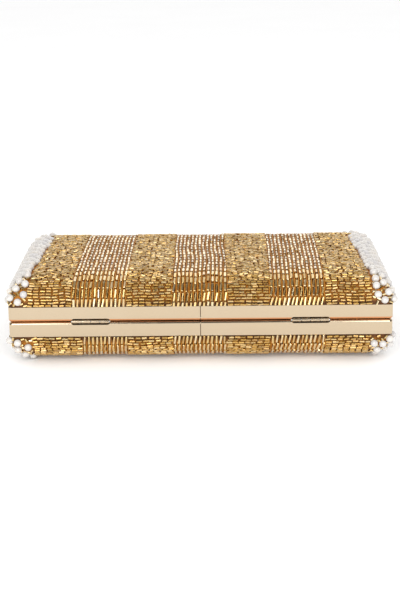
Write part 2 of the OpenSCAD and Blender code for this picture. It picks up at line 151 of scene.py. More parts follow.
def make_object(name: str, points: Array, faces: list, smooth: bool = True) -> bpy.types.Object:
    """Makes a mesh object from points and faces.

    Args:
        name: Name of the piece.
        points: Its corners, one row each.
        faces: Lists of corner numbers.
        smooth: Whether its faces are shaded smooth.

    Returns:
        The new object, linked to the scene.
    """
    mesh = bpy.data.meshes.new(name)
    mesh.from_pydata([tuple(p) for p in points], [], faces)
    mesh.polygons.foreach_set("use_smooth", [smooth] * len(mesh.polygons))
    mesh.update()
    ob = bpy.data.objects.new(name, mesh)
    bpy.context.scene.collection.objects.link(ob)
    return ob


def dress(ob: bpy.types.Object, material: bpy.types.Material) -> None:
    """Gives the object this one material."""
    ob.data.materials.clear()
    ob.data.materials.append(material)


# ------------------------------------------------------------------------------------- the covers


@dataclass(frozen=True)
class Case:
    """Sizes of the case that its soft layers and beads follow."""

    width: float = 200 * MM
    depth: float = 108 * MM
    frame_height: float = 8 * MM
    middle: float = 23.5 * MM
    flat_inset: float = 22.7 * MM
    power: float = 2.45
    corner_low: float = 4 * MM
    corner_top: float = 14 * MM
    bead_inset: float = -1.1 * MM
    bead_top: float = 23.5 * MM
    cloth_inset: float = 0.95 * MM
    cloth_top: float = 21.8 * MM

    def beads(self) -> "Dome":
        """The surface that touches the beads from outside."""
        return Dome(self, self.bead_inset, self.bead_top)

    def cloth(self) -> "Dome":
        """The outer surface of the cloth that the beads are sewn to."""
        return Dome(self, self.cloth_inset, self.cloth_top)

    def place(self, points: Array, half: Half) -> Array:
        """Moves points measured upwards from the middle plane into one half.

        Args:
            points: Points whose Z is their height above the middle plane.
            half: The half that they go to.

        Returns:
            The points in the frame of the whole bag.
        """
        out = np.array(points, float)
        out[..., 2] = self.middle + half.rise * out[..., 2]
        return out


@dataclass(frozen=True)
class Dome:
    """A rounded cover surface that stands on the frame.

    Its rings are rectangles with round corners. They draw in and rise along a squarish crown, from
    the frame's edge, where the crown angle is 0, to the flat top, where it is a quarter turn.
    """

    case: Case
    inset: float
    top: float

    @property
    def low_radius(self) -> float:
        """Corner radius of the lowest ring."""
        return max(0.2 * MM, self.case.corner_low - (self.inset - self.case.bead_inset))

    def rings(self, phi: Array) -> tuple[Array, Array, Array, Array]:
        """Half width, half depth, corner radius and height of the rings at some crown angles.

        Args:
            phi: Crown angles of the rings.

        Returns:
            Half width, half depth, corner radius and height, one value for each ring.
        """
        c = self.case
        u = np.cos(phi) ** (2 / c.power)
        t = np.sin(phi) ** (2 / c.power)
        inset = c.flat_inset - (c.flat_inset - self.inset) * u
        radius = c.corner_top - (c.corner_top - self.low_radius) * u
        height = c.frame_height + (self.top - c.frame_height) * t
        return c.width / 2 - inset, c.depth / 2 - inset, radius, height

    def normals(self, phi: Array, across: Array, along: Array) -> Array:
        """Outward normals on the rings.

        Args:
            phi: Crown angles.
            across: Cosine of the direction that the ring faces, towards the end along X.
            along: Sine of that direction, towards the side along Y.

        Returns:
            One unit vector for each crown angle.
        """
        c, k = self.case, 2 / self.case.power
        du = -k * np.cos(phi) ** (k - 1) * np.sin(phi)
        dt = k * np.sin(phi) ** (k - 1) * np.cos(phi)
        d_inset = -(c.flat_inset - self.inset) * du
        d_radius = -(c.corner_top - self.low_radius) * du
        d_height = (self.top - c.frame_height) * dt
        up = (d_inset + d_radius) * (np.abs(across) + np.abs(along)) - d_radius
        return unit(np.stack([across * d_height, along * d_height, up], axis=-1))

    def section(self, x: float, steps: int = 90) -> tuple[Array, Array]:
        """The line over the cover at one place along the width.

        Args:
            x: The place along the width.
            steps: How many points each crown gets.

        Returns:
            Points and normals from the hinge side of the frame, over the top, to the clasp side.
        """
        phi = np.linspace(0.001, math.pi / 2 - 0.001, steps)
        a, b, r, z = self.rings(phi)
        reach = np.clip(abs(x) - (a - r), 0, None)
        keep = reach < r * 0.9995
        phi, a, b, r, z, reach = (v[keep] for v in (phi, a, b, r, z, reach))
        across = reach / r
        along = np.sqrt(1 - across**2)
        y = b - r + r * along
        points = np.stack([np.full_like(y, x), -y, z], axis=-1)
        normals = self.normals(phi, math.copysign(1, x) * across, -along)
        mirror = np.array([1, -1, 1])
        return (
            np.concatenate([points, points[::-1] * mirror]),
            np.concatenate([normals, normals[::-1] * mirror]),
        )

    def shell_mesh(self, low: float, steps: int = 14, corner: int = 7, cap: int = 8) -> tuple:
        """Corners and faces of the whole cover as one open surface.

        Args:
            low: Height of its free edge, below the frame's edge.
            steps: Rings up the crown.
            corner: Points round each corner.
            cap: Rings across the flat top.

        Returns:
            Points and faces, which point outwards.
        """
        phi = np.linspace(0, math.pi / 2, steps + 1)
        a, b, r, z = self.rings(phi)
        rows = [(a[0], b[0], r[0], low), *zip(a, b, r, z)]
        loops = []
        for a_, b_, r_, z_ in rows:
            loop = []
            for quarter in range(4):
                sx = 1 if quarter in (0, 3) else -1
                sy = 1 if quarter < 2 else -1
                for k in range(corner + 1):
                    turn = math.pi / 2 * (quarter + k / corner)
                    loop.append((
                        sx * (a_ - r_) + r_ * math.cos(turn),
                        sy * (b_ - r_) + r_ * math.sin(turn),
                        z_,
                    ))
                end = loop[-1]
                next_ = {0: (-1, 0), 1: (0, -1), 2: (1, 0), 3: (0, 1)}[quarter]
                run = 2 * ((a_ - r_) if next_[0] else (b_ - r_))
                for k in range(1, 12):
                    loop.append((
                        end[0] + next_[0] * run * k / 12,
                        end[1] + next_[1] * run * k / 12,
                        z_,
                    ))
            loops.append(loop)
        for k in range(1, cap + 1):
            share = 1 - k / (cap + 0.5)
            loops.append([(p[0] * share, p[1] * share, p[2]) for p in loops[len(rows) - 1]])
        n = len(loops[0])
        faces = [
            [j * n + k, j * n + (k + 1) % n, (j + 1) * n + (k + 1) % n, (j + 1) * n + k]
            for j in range(len(loops) - 1)
            for k in range(n)
        ]
        faces.append([(len(loops) - 1) * n + k for k in range(n)])
        return np.array([p for loop in loops for p in loop]), faces

    def cut_size(self, low: float) -> tuple[float, float]:
        """Width and length of the flat piece of cloth that covers this dome down to a low edge.

        Args:
            low: Height of the cloth's free edge.

        Returns:
            Its size along X and along Y before it is glued down.
        """
        points, _ = self.section(0)
        along = np.linalg.norm(np.diff(points, axis=0), axis=1).sum()
        side = along - 2 * (self.case.depth / 2 - self.case.flat_inset)
        skirt = 2 * (self.case.frame_height - low)
        return (
            self.case.width - 2 * self.case.flat_inset + side + skirt,
            along + skirt,
        )


class Drape:
    """A dome unrolled into lines, so that beads can be laid on it by distance from the frame."""

    def __init__(self, dome: Dome, x_low: float, x_high: float, gap: float = 0.5 * MM) -> None:
        """Takes sections of the dome between two places along the width.

        Args:
            dome: The surface to unroll.
            x_low: Lowest place along the width.
            x_high: Highest place along the width.
            gap: Largest distance between two sections.
        """
        count = max(3, int(math.ceil((x_high - x_low) / gap)) + 1)
        self.xs = np.linspace(x_low, x_high, count)
        self.fractions = np.linspace(0, 1, 400)
        places, normals, lengths = [], [], []
        for x in self.xs:
            p, n = dome.section(float(x))
            s = np.concatenate([[0], np.cumsum(np.linalg.norm(np.diff(p, axis=0), axis=1))])
            lengths.append(s[-1])
            at = self.fractions * s[-1]
            places.append(np.stack([np.interp(at, s, p[:, i]) for i in range(3)], axis=-1))
            normals.append(np.stack([np.interp(at, s, n[:, i]) for i in range(3)], axis=-1))
        self.places, self.normals = np.array(places), np.array(normals)
        self.lengths = np.array(lengths)

    def length(self, x: Array) -> Array:
        """Length of the line over the cover at some places along the width."""
        return np.interp(x, self.xs, self.lengths)

    def at(self, x: Array, s: Array) -> tuple[Array, Array]:
        """Points and normals of the cover.

        Args:
            x: Places along the width.
            s: Distances along the line from the hinge side.

        Returns:
            The points and the unit normals.
        """
        x, s = np.broadcast_arrays(np.asarray(x, float), np.asarray(s, float))
        u = np.clip((x - self.xs[0]) / (self.xs[-1] - self.xs[0]), 0, 1) * (len(self.xs) - 1)
        v = np.clip(s / self.length(x), 0, 1) * (len(self.fractions) - 1)
        i = np.minimum(u.astype(int), len(self.xs) - 2)
        j = np.minimum(v.astype(int), len(self.fractions) - 2)
        fu, fv = (u - i)[..., None], (v - j)[..., None]

        def mix(grid: Array) -> Array:
            """The grid's value between its four nearest points.

            Args:
                grid: Values where the sections and the fractions cross.

            Returns:
                The value between the four nearest crossings.
            """
            return (grid[i, j] * (1 - fu) + grid[i + 1, j] * fu) * (1 - fv) + (
                grid[i, j + 1] * (1 - fu) + grid[i + 1, j + 1] * fu
            ) * fv

        return mix(self.places), unit(mix(self.normals))


# --------------------------------------------------------------------------------- bead masters


@dataclass
class Master:
    """One bead, modelled once, ready to be copied: its axis is local Z."""

    points: Array
    starts: Array
    totals: Array
    corners: Array
    smooth: Array
    uv: Array

    @classmethod
    def take(cls, ob: bpy.types.Object) -> "Master":
        """Reads a modelled bead's mesh, unwraps it, and removes the object.

        Args:
            ob: The modelled bead, with its axis along local Z.

        Returns:
            The bead, ready to be copied.
        """
        edit_all(ob)
        bpy.ops.mesh.normals_make_consistent(inside=False)
        bpy.ops.uv.smart_project(angle_limit=math.radians(50), island_margin=0.02)
        bpy.ops.object.mode_set(mode="OBJECT")
        mesh = ob.data

        def read(items: object, key: str, width: int, kind: type) -> Array:
            """One property of all items as an array.

            Args:
                items: The mesh's points, faces, corners or map points.
                key: Name of the property.
                width: How many numbers it has.
                kind: Type of those numbers.

            Returns:
                The property, one row for each item.
            """
            out = np.zeros(len(items) * width, kind)
            items.foreach_get(key, out)
            return out.reshape(-1, width) if width > 1 else out

        made = cls(
            points=read(mesh.vertices, "co", 3, float),
            starts=read(mesh.polygons, "loop_start", 1, int),
            totals=read(mesh.polygons, "loop_total", 1, int),
            corners=read(mesh.loops, "vertex_index", 1, int),
            smooth=read(mesh.polygons, "use_smooth", 1, bool),
            uv=read(mesh.uv_layers[0].data, "uv", 2, float),
        )
        bpy.data.objects.remove(ob)
        bpy.data.meshes.remove(mesh)
        return made


@dataclass(frozen=True)
class Bugle:
    """A cut glass tube: a prism with a drilled hole and ground rims."""

    length: float = 4.5 * MM
    radius: float = 0.86 * MM
    sides: int = 6
    hole: float = 0.3 * MM
    rim: float = 0.3 * MM
    end_share: float = 0.86
    bore_lip: float = 0.06 * MM
    bore_depth: float = 0.7 * MM
    smooth: bool = False

    def model(self) -> Master:
        """Models the bead: a cylinder whose rims are ground off and whose ends are drilled.

        Returns:
            The bead, ready to be copied.
        """
        deselect()
        bpy.ops.mesh.primitive_cylinder_add(
            vertices=self.sides, radius=self.radius, depth=self.length, end_fill_type="NGON"
        )
        ob = bpy.context.object
        bpy.ops.object.mode_set(mode="EDIT")
        end = self.length / 2 - 1e-6

        def is_end(face: bmesh.types.BMFace) -> bool:
            """True for the two end faces."""
            return abs(face.calc_center_median().z) > end

        def is_rim(edge: bmesh.types.BMEdge) -> bool:
            """True for the edges round the two ends."""
            return all(abs(v.co.z) > end for v in edge.verts)

        pick(ob, edges=is_rim)
        bpy.ops.mesh.bevel(offset=self.rim, segments=1)
        pick(ob, faces=is_end)
        bpy.ops.mesh.inset(thickness=(self.radius - self.rim - self.hole) * self.end_share)
        bpy.ops.mesh.inset(thickness=self.bore_lip, depth=-self.bore_depth)
        bpy.ops.object.mode_set(mode="OBJECT")
        if self.smooth:
            bpy.ops.object.shade_smooth()
        return Master.take(ob)


@dataclass(frozen=True)
class Pearl:
    """A round pearl, drilled through, with its hole along local Z."""

    radius: float = 2.0 * MM
    segments: int = 10
    rings: int = 8
    drill_share: float = 0.16
    drill_depth: float = 0.05 * MM

    def model(self) -> Master:
        """Models the pearl: a ball whose poles are drilled.

        Returns:
            The pearl, ready to be copied.
        """
        deselect()
        bpy.ops.mesh.primitive_uv_sphere_add(
            segments=self.segments, ring_count=self.rings, radius=self.radius
        )
        ob = bpy.context.object
        bpy.ops.object.mode_set(mode="EDIT")

        def is_pole(face: bmesh.types.BMFace) -> bool:
            """True for the small triangles round each pole."""
            return len(face.verts) == 3

        pick(ob, faces=is_pole)
        bpy.ops.mesh.inset(thickness=self.radius * self.drill_share, depth=-self.drill_depth)
        bpy.ops.object.mode_set(mode="OBJECT")
        bpy.ops.object.shade_smooth()
        return Master.take(ob)


# ------------------------------------------------------------------------------------ beadwork


class Strand:
    """Beads of one kind that are sewn down one by one, and then made into one piece."""

    def __init__(self, master: Master, seed: int) -> None:
        """Starts with no beads.

        Args:
            master: The bead that is copied.
            seed: Start of the random numbers for roll and tint.
        """
        self.master = master
        self.rng = np.random.default_rng(seed)
        self.centres: list[Array] = []
        self.axes: list[Array] = []
        self.ups: list[Array] = []
        self.rolls: list[Array] = []
        self.stretch: list[Array] = []

    def sew(
        self, centre: Array, axis: Array, up: Array, roll: Array, length: Array, girth: Array
    ) -> None:
        """Adds beads.

        Args:
            centre: Middle of each bead.
            axis: Direction of each bead's hole.
            up: Direction away from the cloth.
            roll: Turn of each bead about its own axis.
            length: Length of each bead, as a share of the master's.
            girth: Thickness of each bead, as a share of the master's.
        """
        centre = np.atleast_2d(centre)
        n = len(centre)
        self.centres.append(centre)
        self.axes.append(unit(np.broadcast_to(axis, (n, 3))))
        self.ups.append(unit(np.broadcast_to(up, (n, 3))))
        self.rolls.append(np.broadcast_to(roll, (n,)).astype(float))
        self.stretch.append(np.stack([
            np.broadcast_to(girth, (n,)), np.broadcast_to(length, (n,))
        ], axis=-1).astype(float))

    def corners(self) -> Array:
        """Corner points of every bead, bead by bead.

        Returns:
            The points, by bead, corner and axis.
        """
        centre, axis = np.concatenate(self.centres), np.concatenate(self.axes)
        up, roll = np.concatenate(self.ups), np.concatenate(self.rolls)
        stretch = np.concatenate(self.stretch)
        up = unit(up - axis * (up * axis).sum(-1, keepdims=True))
        side = np.cross(up, axis)
        c, s = np.cos(roll)[:, None], np.sin(roll)[:, None]
        e1, e2 = side * c + up * s, up * c - side * s
        p = self.master.points
        return (
            centre[:, None]
            + (e1[:, None] * p[None, :, :1] + e2[:, None] * p[None, :, 1:2])
            * stretch[:, None, :1]
            + axis[:, None] * p[None, :, 2:] * stretch[:, None, 1:]
        )

    def finish(self, name: str, case: Case, half: Half, floor: bool = True) -> bpy.types.Object:
        """Makes the piece.

        Args:
            name: Name of the piece.
            case: The case that the beads are sewn to.
            half: The half that they belong to.
            floor: Whether beads are pushed into the cloth to lie level on what the bag lies on.

        Returns:
            The new object, with a tint for each bead and a map with a cell for each.
        """
        points = self.corners()
        if floor:
            over = np.maximum(points[..., 2].max(axis=1) - case.bead_top, 0)
            points[..., 2] -= over[:, None]
        points = case.place(points, half)
        k, m = points.shape[:2]
        master = self.master
        loops, polys = len(master.corners), len(master.starts)
        corners = master.corners.reshape(-1, 1)
        flipped = half is Half.BACK
        order = np.arange(loops)
        if flipped:
            for start, total in zip(master.starts, master.totals):
                order[start:start + total] = order[start:start + total][::-1]
        mesh = bpy.data.meshes.new(name)
        mesh.vertices.add(k * m)
        mesh.vertices.foreach_set("co", points.reshape(-1).astype(np.float32))
        mesh.loops.add(k * loops)
        index = (corners[order, 0][None, :] + (np.arange(k) * m)[:, None]).reshape(-1)
        mesh.loops.foreach_set("vertex_index", index.astype(np.int32))
        mesh.polygons.add(k * polys)
        starts = (master.starts[None, :] + (np.arange(k) * loops)[:, None]).reshape(-1)
        mesh.polygons.foreach_set("loop_start", starts.astype(np.int32))
        mesh.polygons.foreach_set("loop_total", np.tile(master.totals, k).astype(np.int32))
        mesh.polygons.foreach_set("use_smooth", np.tile(master.smooth, k))
        mesh.update(calc_edges=True)
        mesh.validate()
        cells = int(math.ceil(math.sqrt(k)))
        corner = np.stack([np.arange(k) % cells, np.arange(k) // cells], axis=-1)
        uv = (corner[:, None] + 0.06 + 0.88 * master.uv[order][None]) / cells
        mesh.uv_layers.new(name=BAKE_MAP).data.foreach_set("uv", uv.reshape(-1))
        tint = np.repeat(self.rng.random((k, 3)), m, axis=0)
        mesh.attributes.new(BEAD_DATA, "FLOAT_VECTOR", "POINT").data.foreach_set(
            "vector", tint.reshape(-1).astype(np.float32)
        )
        ob = bpy.data.objects.new(name, mesh)
        bpy.context.scene.collection.objects.link(ob)
        LOG.info("%s: %d beads, %d faces", name, k, k * polys)
        return ob


@dataclass(frozen=True)
class Wave:
    """A slow, seeded unevenness, as hand-sewn rows have."""

    size: float
    reach: float
    seed: int

    def __call__(self, at: Array) -> Array:
        """The offset at some places along a row.

        Args:
            at: Places along the row.

        Returns:
            The offset at each place.
        """
        rng = np.random.default_rng(self.seed)
        total = np.zeros_like(np.asarray(at, float))
        for k in range(1, 5):
            phase, share = rng.random() * math.tau, 0.5 + rng.random()
            total += share / k * np.sin(math.tau * np.asarray(at) * k * share / self.reach + phase)
        return total * self.size / 2


@dataclass(frozen=True)
class Line:
    """A line over a cover where one kind of bead gives way to the next.

    It is sewn by eye, so that it does not run quite straight from the hinges to the clasp.
    """

    hinges: float
    clasp: float

    def at(self, share: Array) -> Array:
        """Its place along the width, at a share of the way from the hinges to the clasp."""
        return self.hinges + (self.clasp - self.hinges) * share

    def span(self) -> tuple[float, float]:
        """The lowest and the highest place that it reaches."""
        return min(self.hinges, self.clasp), max(self.hinges, self.clasp)


@dataclass
class Stripe:
    """A stripe of long bugles in columns that run from the hinges to the clasp.

    The rows line up and lean on the walls, for wall_run up from the frame, and are staggered on
    the top. The fields that end in scatter are the hand's unevenness, as standard deviations;
    those of length and girth are a share of the bead's own, with the mean in front.
    """

    case: Case
    bugle: Bugle
    west: Line
    east: Line
    column_pitch: float = 2.2 * MM
    row_pitch: float = 5.35 * MM
    first_row: float = 0.1 * MM
    short_row: float = 0.0
    lean: float = 0.0
    thread_radius: float = 0.26 * MM
    thread_sink: float = 0.55 * MM
    thread_sides: int = 5
    thread_end: float = 0.4 * MM
    thread_steps: int = 72
    wall_run: float = 9 * MM
    turn_run: float = 11 * MM
    sway_size: float = 0.45 * MM
    sway_reach: float = 110 * MM
    wobble_size: float = 0.1 * MM
    wobble_reach: float = 45 * MM
    start_scatter: float = 0.12 * MM
    row_scatter: float = 0.1 * MM
    side_scatter: float = 0.09 * MM
    depth_scatter: float = 0.1 * MM
    stagger: float = 1.1
    top_length: float = 0.94
    wall_gain: float = 0.09
    length_scatter: tuple[float, float] = (0.985, 0.012)
    girth_scatter: tuple[float, float] = (0.985, 0.025)
    short_gap: float = 0.75 * MM
    seat: float = 0.15 * MM
    skew_scatter: float = math.radians(2.4)
    tip_scatter: float = math.radians(3.0)
    roll_scatter: float = math.radians(17)
    seed: int = 1

    def upright(self, s: Array, total: float) -> Array:
        """1 on the walls, where the rows line up and lean, and 0 on the top."""
        t = np.clip((np.minimum(s, total - s) - self.wall_run) / self.turn_run, 0, 1)
        return 1 - t * t * (3 - 2 * t)

    def columns(self) -> int:
        """How many columns fit between the stripe's two lines."""
        return int(round((self.east.at(0) - self.west.at(0)) / self.column_pitch))

    def sway(self) -> Wave:
        """The slow sideways sway that all the columns share."""
        return Wave(self.sway_size, self.sway_reach, self.seed)

    def run(self, drape: Drape, share: float) -> float:
        """Length over the cover at a share of the way from the west line to the east line."""
        return float(drape.length(self.west.at(0.5) * (1 - share) + self.east.at(0.5) * share))

    def sew(self, strand: Strand, drape: Drape) -> None:
        """Lays every column's bugles end to end over the cover.

        Args:
            strand: Takes the beads.
            drape: The outside of the beads, unrolled.
        """
        rng = np.random.default_rng(self.seed)
        sway, columns = self.sway(), self.columns()
        for i in range(columns):
            share = (i + 0.5) / columns
            total = self.run(drape, share)
            start = self.first_row + rng.normal(0, self.start_scatter)
            rows = []
            if self.short_row:
                rows.append((start, self.short_row))
                start += self.short_row + self.short_gap
            count = int(round((total - start - self.first_row) / self.row_pitch))
            pitch = (total - start - self.first_row) / count
            rows += [(start + k * pitch, self.bugle.length) for k in range(count)]
            s = np.array([r[0] + r[1] / 2 for r in rows])
            lengths = np.array([r[1] for r in rows])
            s[1:-1] += rng.normal(0, self.row_scatter, len(s) - 2)
            wall = self.upright(s, total)
            s = s + rng.uniform(-self.stagger, self.stagger) * MM * (1 - wall)
            lengths = lengths * (self.top_length + self.wall_gain * wall)
            wobble = Wave(self.wobble_size, self.wobble_reach, self.seed * 100 + i)

            def place(at: Array) -> tuple[Array, Array]:
                """Points and normals of this column."""
                west, east = self.west.at(at / total), self.east.at(at / total)
                return drape.at(west * (1 - share) + east * share + sway(at) + wobble(at), at)

            low, _ = place(s - lengths / 2)
            high, _ = place(s + lengths / 2)
            middle, up = place(s)
            chord = unit(high - low)
            skew = (self.lean * wall + rng.normal(0, self.skew_scatter, len(s)))[:, None]
            tip = rng.normal(0, self.tip_scatter, len(s))[:, None]
            aside = np.cross(up, chord)
            axis = chord + aside * np.tan(skew) + up * np.tan(tip)
            centre = (low + high) / 2 * 0.5 + middle * 0.5 - up * (self.bugle.radius + self.seat)
            centre = centre + aside * rng.normal(0, self.side_scatter, len(s))[:, None]
            centre = centre - up * np.abs(rng.normal(0, self.depth_scatter, len(s)))[:, None]
            strand.sew(
                centre, axis, up,
                rng.normal(0, self.roll_scatter, len(s)),
                lengths / self.bugle.length * rng.normal(*self.length_scatter, len(s)),
                rng.normal(*self.girth_scatter, len(s)),
            )

    def threads(self, name: str, drape: Drape, half: Half) -> bpy.types.Object:
        """Makes the couching threads that run between the columns and hold them straight.

        Args:
            name: Name of the piece.
            drape: The outside of the beads, unrolled.
            half: The half that they belong to.

        Returns:
            The threads of this stripe, as one piece.
        """
        sway, columns = self.sway(), self.columns()
        turns = np.arange(self.thread_sides) * math.tau / self.thread_sides
        points, faces = [], []
        for i in range(columns + 1):
            share = i / columns
            total = self.run(drape, share)
            at = np.linspace(self.thread_end, total - self.thread_end, self.thread_steps)
            west, east = self.west.at(at / total), self.east.at(at / total)
            spine, up = drape.at(west * (1 - share) + east * share + sway(at), at)
            along = unit(np.gradient(spine, axis=0))
            aside = unit(np.cross(up, along))
            spine = spine - up * (self.thread_sink + self.thread_radius)
            rings = spine[:, None] + self.thread_radius * (
                aside[:, None] * np.cos(turns)[None, :, None]
                + up[:, None] * np.sin(turns)[None, :, None]
            )
            first, n = sum(len(p) for p in points), self.thread_sides
            points.append(rings.reshape(-1, 3))
            for j in range(len(at) - 1):
                a, b = first + j * n, first + (j + 1) * n
                faces += [[a + k, a + (k + 1) % n, b + (k + 1) % n, b + k] for k in range(n)]
            faces.append([first + k for k in range(n)][::-1])
            faces.append([first + (len(at) - 1) * n + k for k in range(n)])
        ob = make_object(name, self.case.place(np.concatenate(points), half), faces)
        edit_all(ob)
        bpy.ops.mesh.normals_make_consistent(inside=False)
        bpy.ops.object.mode_set(mode="OBJECT")
        return ob


@dataclass
class Band:
    """A band of short bugles laid across: neat rows on the walls, jumbled on the top.

    Turns and tilts are in degrees: the neat ones are for the walls, and the loose ones are what
    the top adds to them.
    """

    case: Case
    bugle: Bugle
    west: Line
    east: Line
    row_pitch: float = 1.66 * MM
    bead_pitch: float = 3.3 * MM
    neat_until: float = 13 * MM
    loose_from: float = 25 * MM
    first_row: float = 0.1 * MM
    wave_size: float = 0.75 * MM
    wave_reach: float = 55 * MM
    side_gap: float = 1.0 * MM
    nudge: float = 0.4 * MM
    closer_rows: float = 0.06
    closer_beads: float = 0.22
    turn_neat: float = 3.0
    turn_loose: float = 17.0
    tilt_neat: float = 1.5
    tilt_loose: float = 5.0
    seed: int = 2

    def looseness(self, s: Array) -> Array:
        """0 where the rows are neat, 1 where the beads lie all ways."""
        t = np.clip((s - self.neat_until) / (self.loose_from - self.neat_until), 0, 1)
        return t * t * (3 - 2 * t)

    def sew(self, strand: Strand, drape: Drape) -> None:
        """Lays the rows from both frame edges to the middle of the cover.

        Args:
            strand: Takes the beads.
            drape: The outside of the beads, unrolled.
        """
        rng = np.random.default_rng(self.seed)
        half = float(drape.length((self.west.at(0.5) + self.east.at(0.5)) / 2)) / 2
        levels, reached = [], self.first_row
        while reached < half:
            loose = float(self.looseness(np.array(reached)))
            pitch = self.row_pitch * (1 - self.closer_rows * loose)
            levels.append(reached + pitch / 2)
            reached += pitch
        levels = np.array(levels) * half / reached
        rows = len(levels)
        for side in (0, 1):
            wave = [
                Wave(self.wave_size, self.wave_reach, self.seed * 10 + side * 5 + k)
                for k in range(2)
            ]
            for k in range(rows):
                s0 = float(levels[k])
                loose = float(self.looseness(np.array(s0)))
                way = s0 / (2 * half) if side == 0 else 1 - s0 / (2 * half)
                west, east = float(self.west.at(way)), float(self.east.at(way))
                run = east - west
                bead_pitch = self.bead_pitch * (1 - self.closer_beads * loose)
                count = max(2, int(round(run / bead_pitch)))
                step = run / count
                shift = rng.random() * 0.5 - 0.25
                x = west + step * (np.arange(count) + 0.5 + shift * (1 - loose))
                x += rng.normal(0, 0.2 * MM + 0.4 * MM * loose, count)
                x = np.clip(x, west + self.side_gap, east - self.side_gap)
                blend = k / rows
                lift = wave[0](x) * (1 - blend) + wave[1](x) * blend
                lift *= min(1.0, k / 3) * (1 - 0.4 * loose)
                s = s0 + lift + rng.normal(0, 0.07 * MM + 0.3 * MM * loose, count)
                keep = s < drape.length(x) / 2
                x, s = x[keep], s[keep]
                n = len(x)
                if not n:
                    continue
                at = s if side == 0 else drape.length(x) - s
                point, up = drape.at(x, at)
                ahead, _ = drape.at(x + self.nudge, at)
                behind, _ = drape.at(x - self.nudge, at)
                across = unit(ahead - behind)
                rise = wave[0](x + self.nudge) - wave[0](x - self.nudge)
                slope = rise / (2 * self.nudge) * (1 - blend)
                yaw = np.arctan(slope) * (1 - loose) * (1 if side == 0 else -1)
                turn = math.radians(self.turn_neat + self.turn_loose * loose)
                yaw = yaw + rng.normal(0, turn, n)
                along = np.cross(up, across)
                axis = across * np.cos(yaw)[:, None] + along * np.sin(yaw)[:, None]
                lean = math.radians(self.tilt_neat + self.tilt_loose * loose)
                tilt = rng.normal(0, lean, n)[:, None]
                axis = axis + up * np.tan(tilt)
                height = rng.uniform(-0.3, 0.1, n) * (0.3 + 0.7 * loose) * MM
                length = rng.normal(1.0, 0.06, n) - loose * rng.uniform(0.0, 0.3, n)
                centre = point - up * (self.bugle.radius - height)[:, None]
                strand.sew(
                    centre, axis, up, rng.uniform(0, math.tau, n), length,
                    rng.normal(0.98, 0.03, n) - 0.06 * loose,
                )


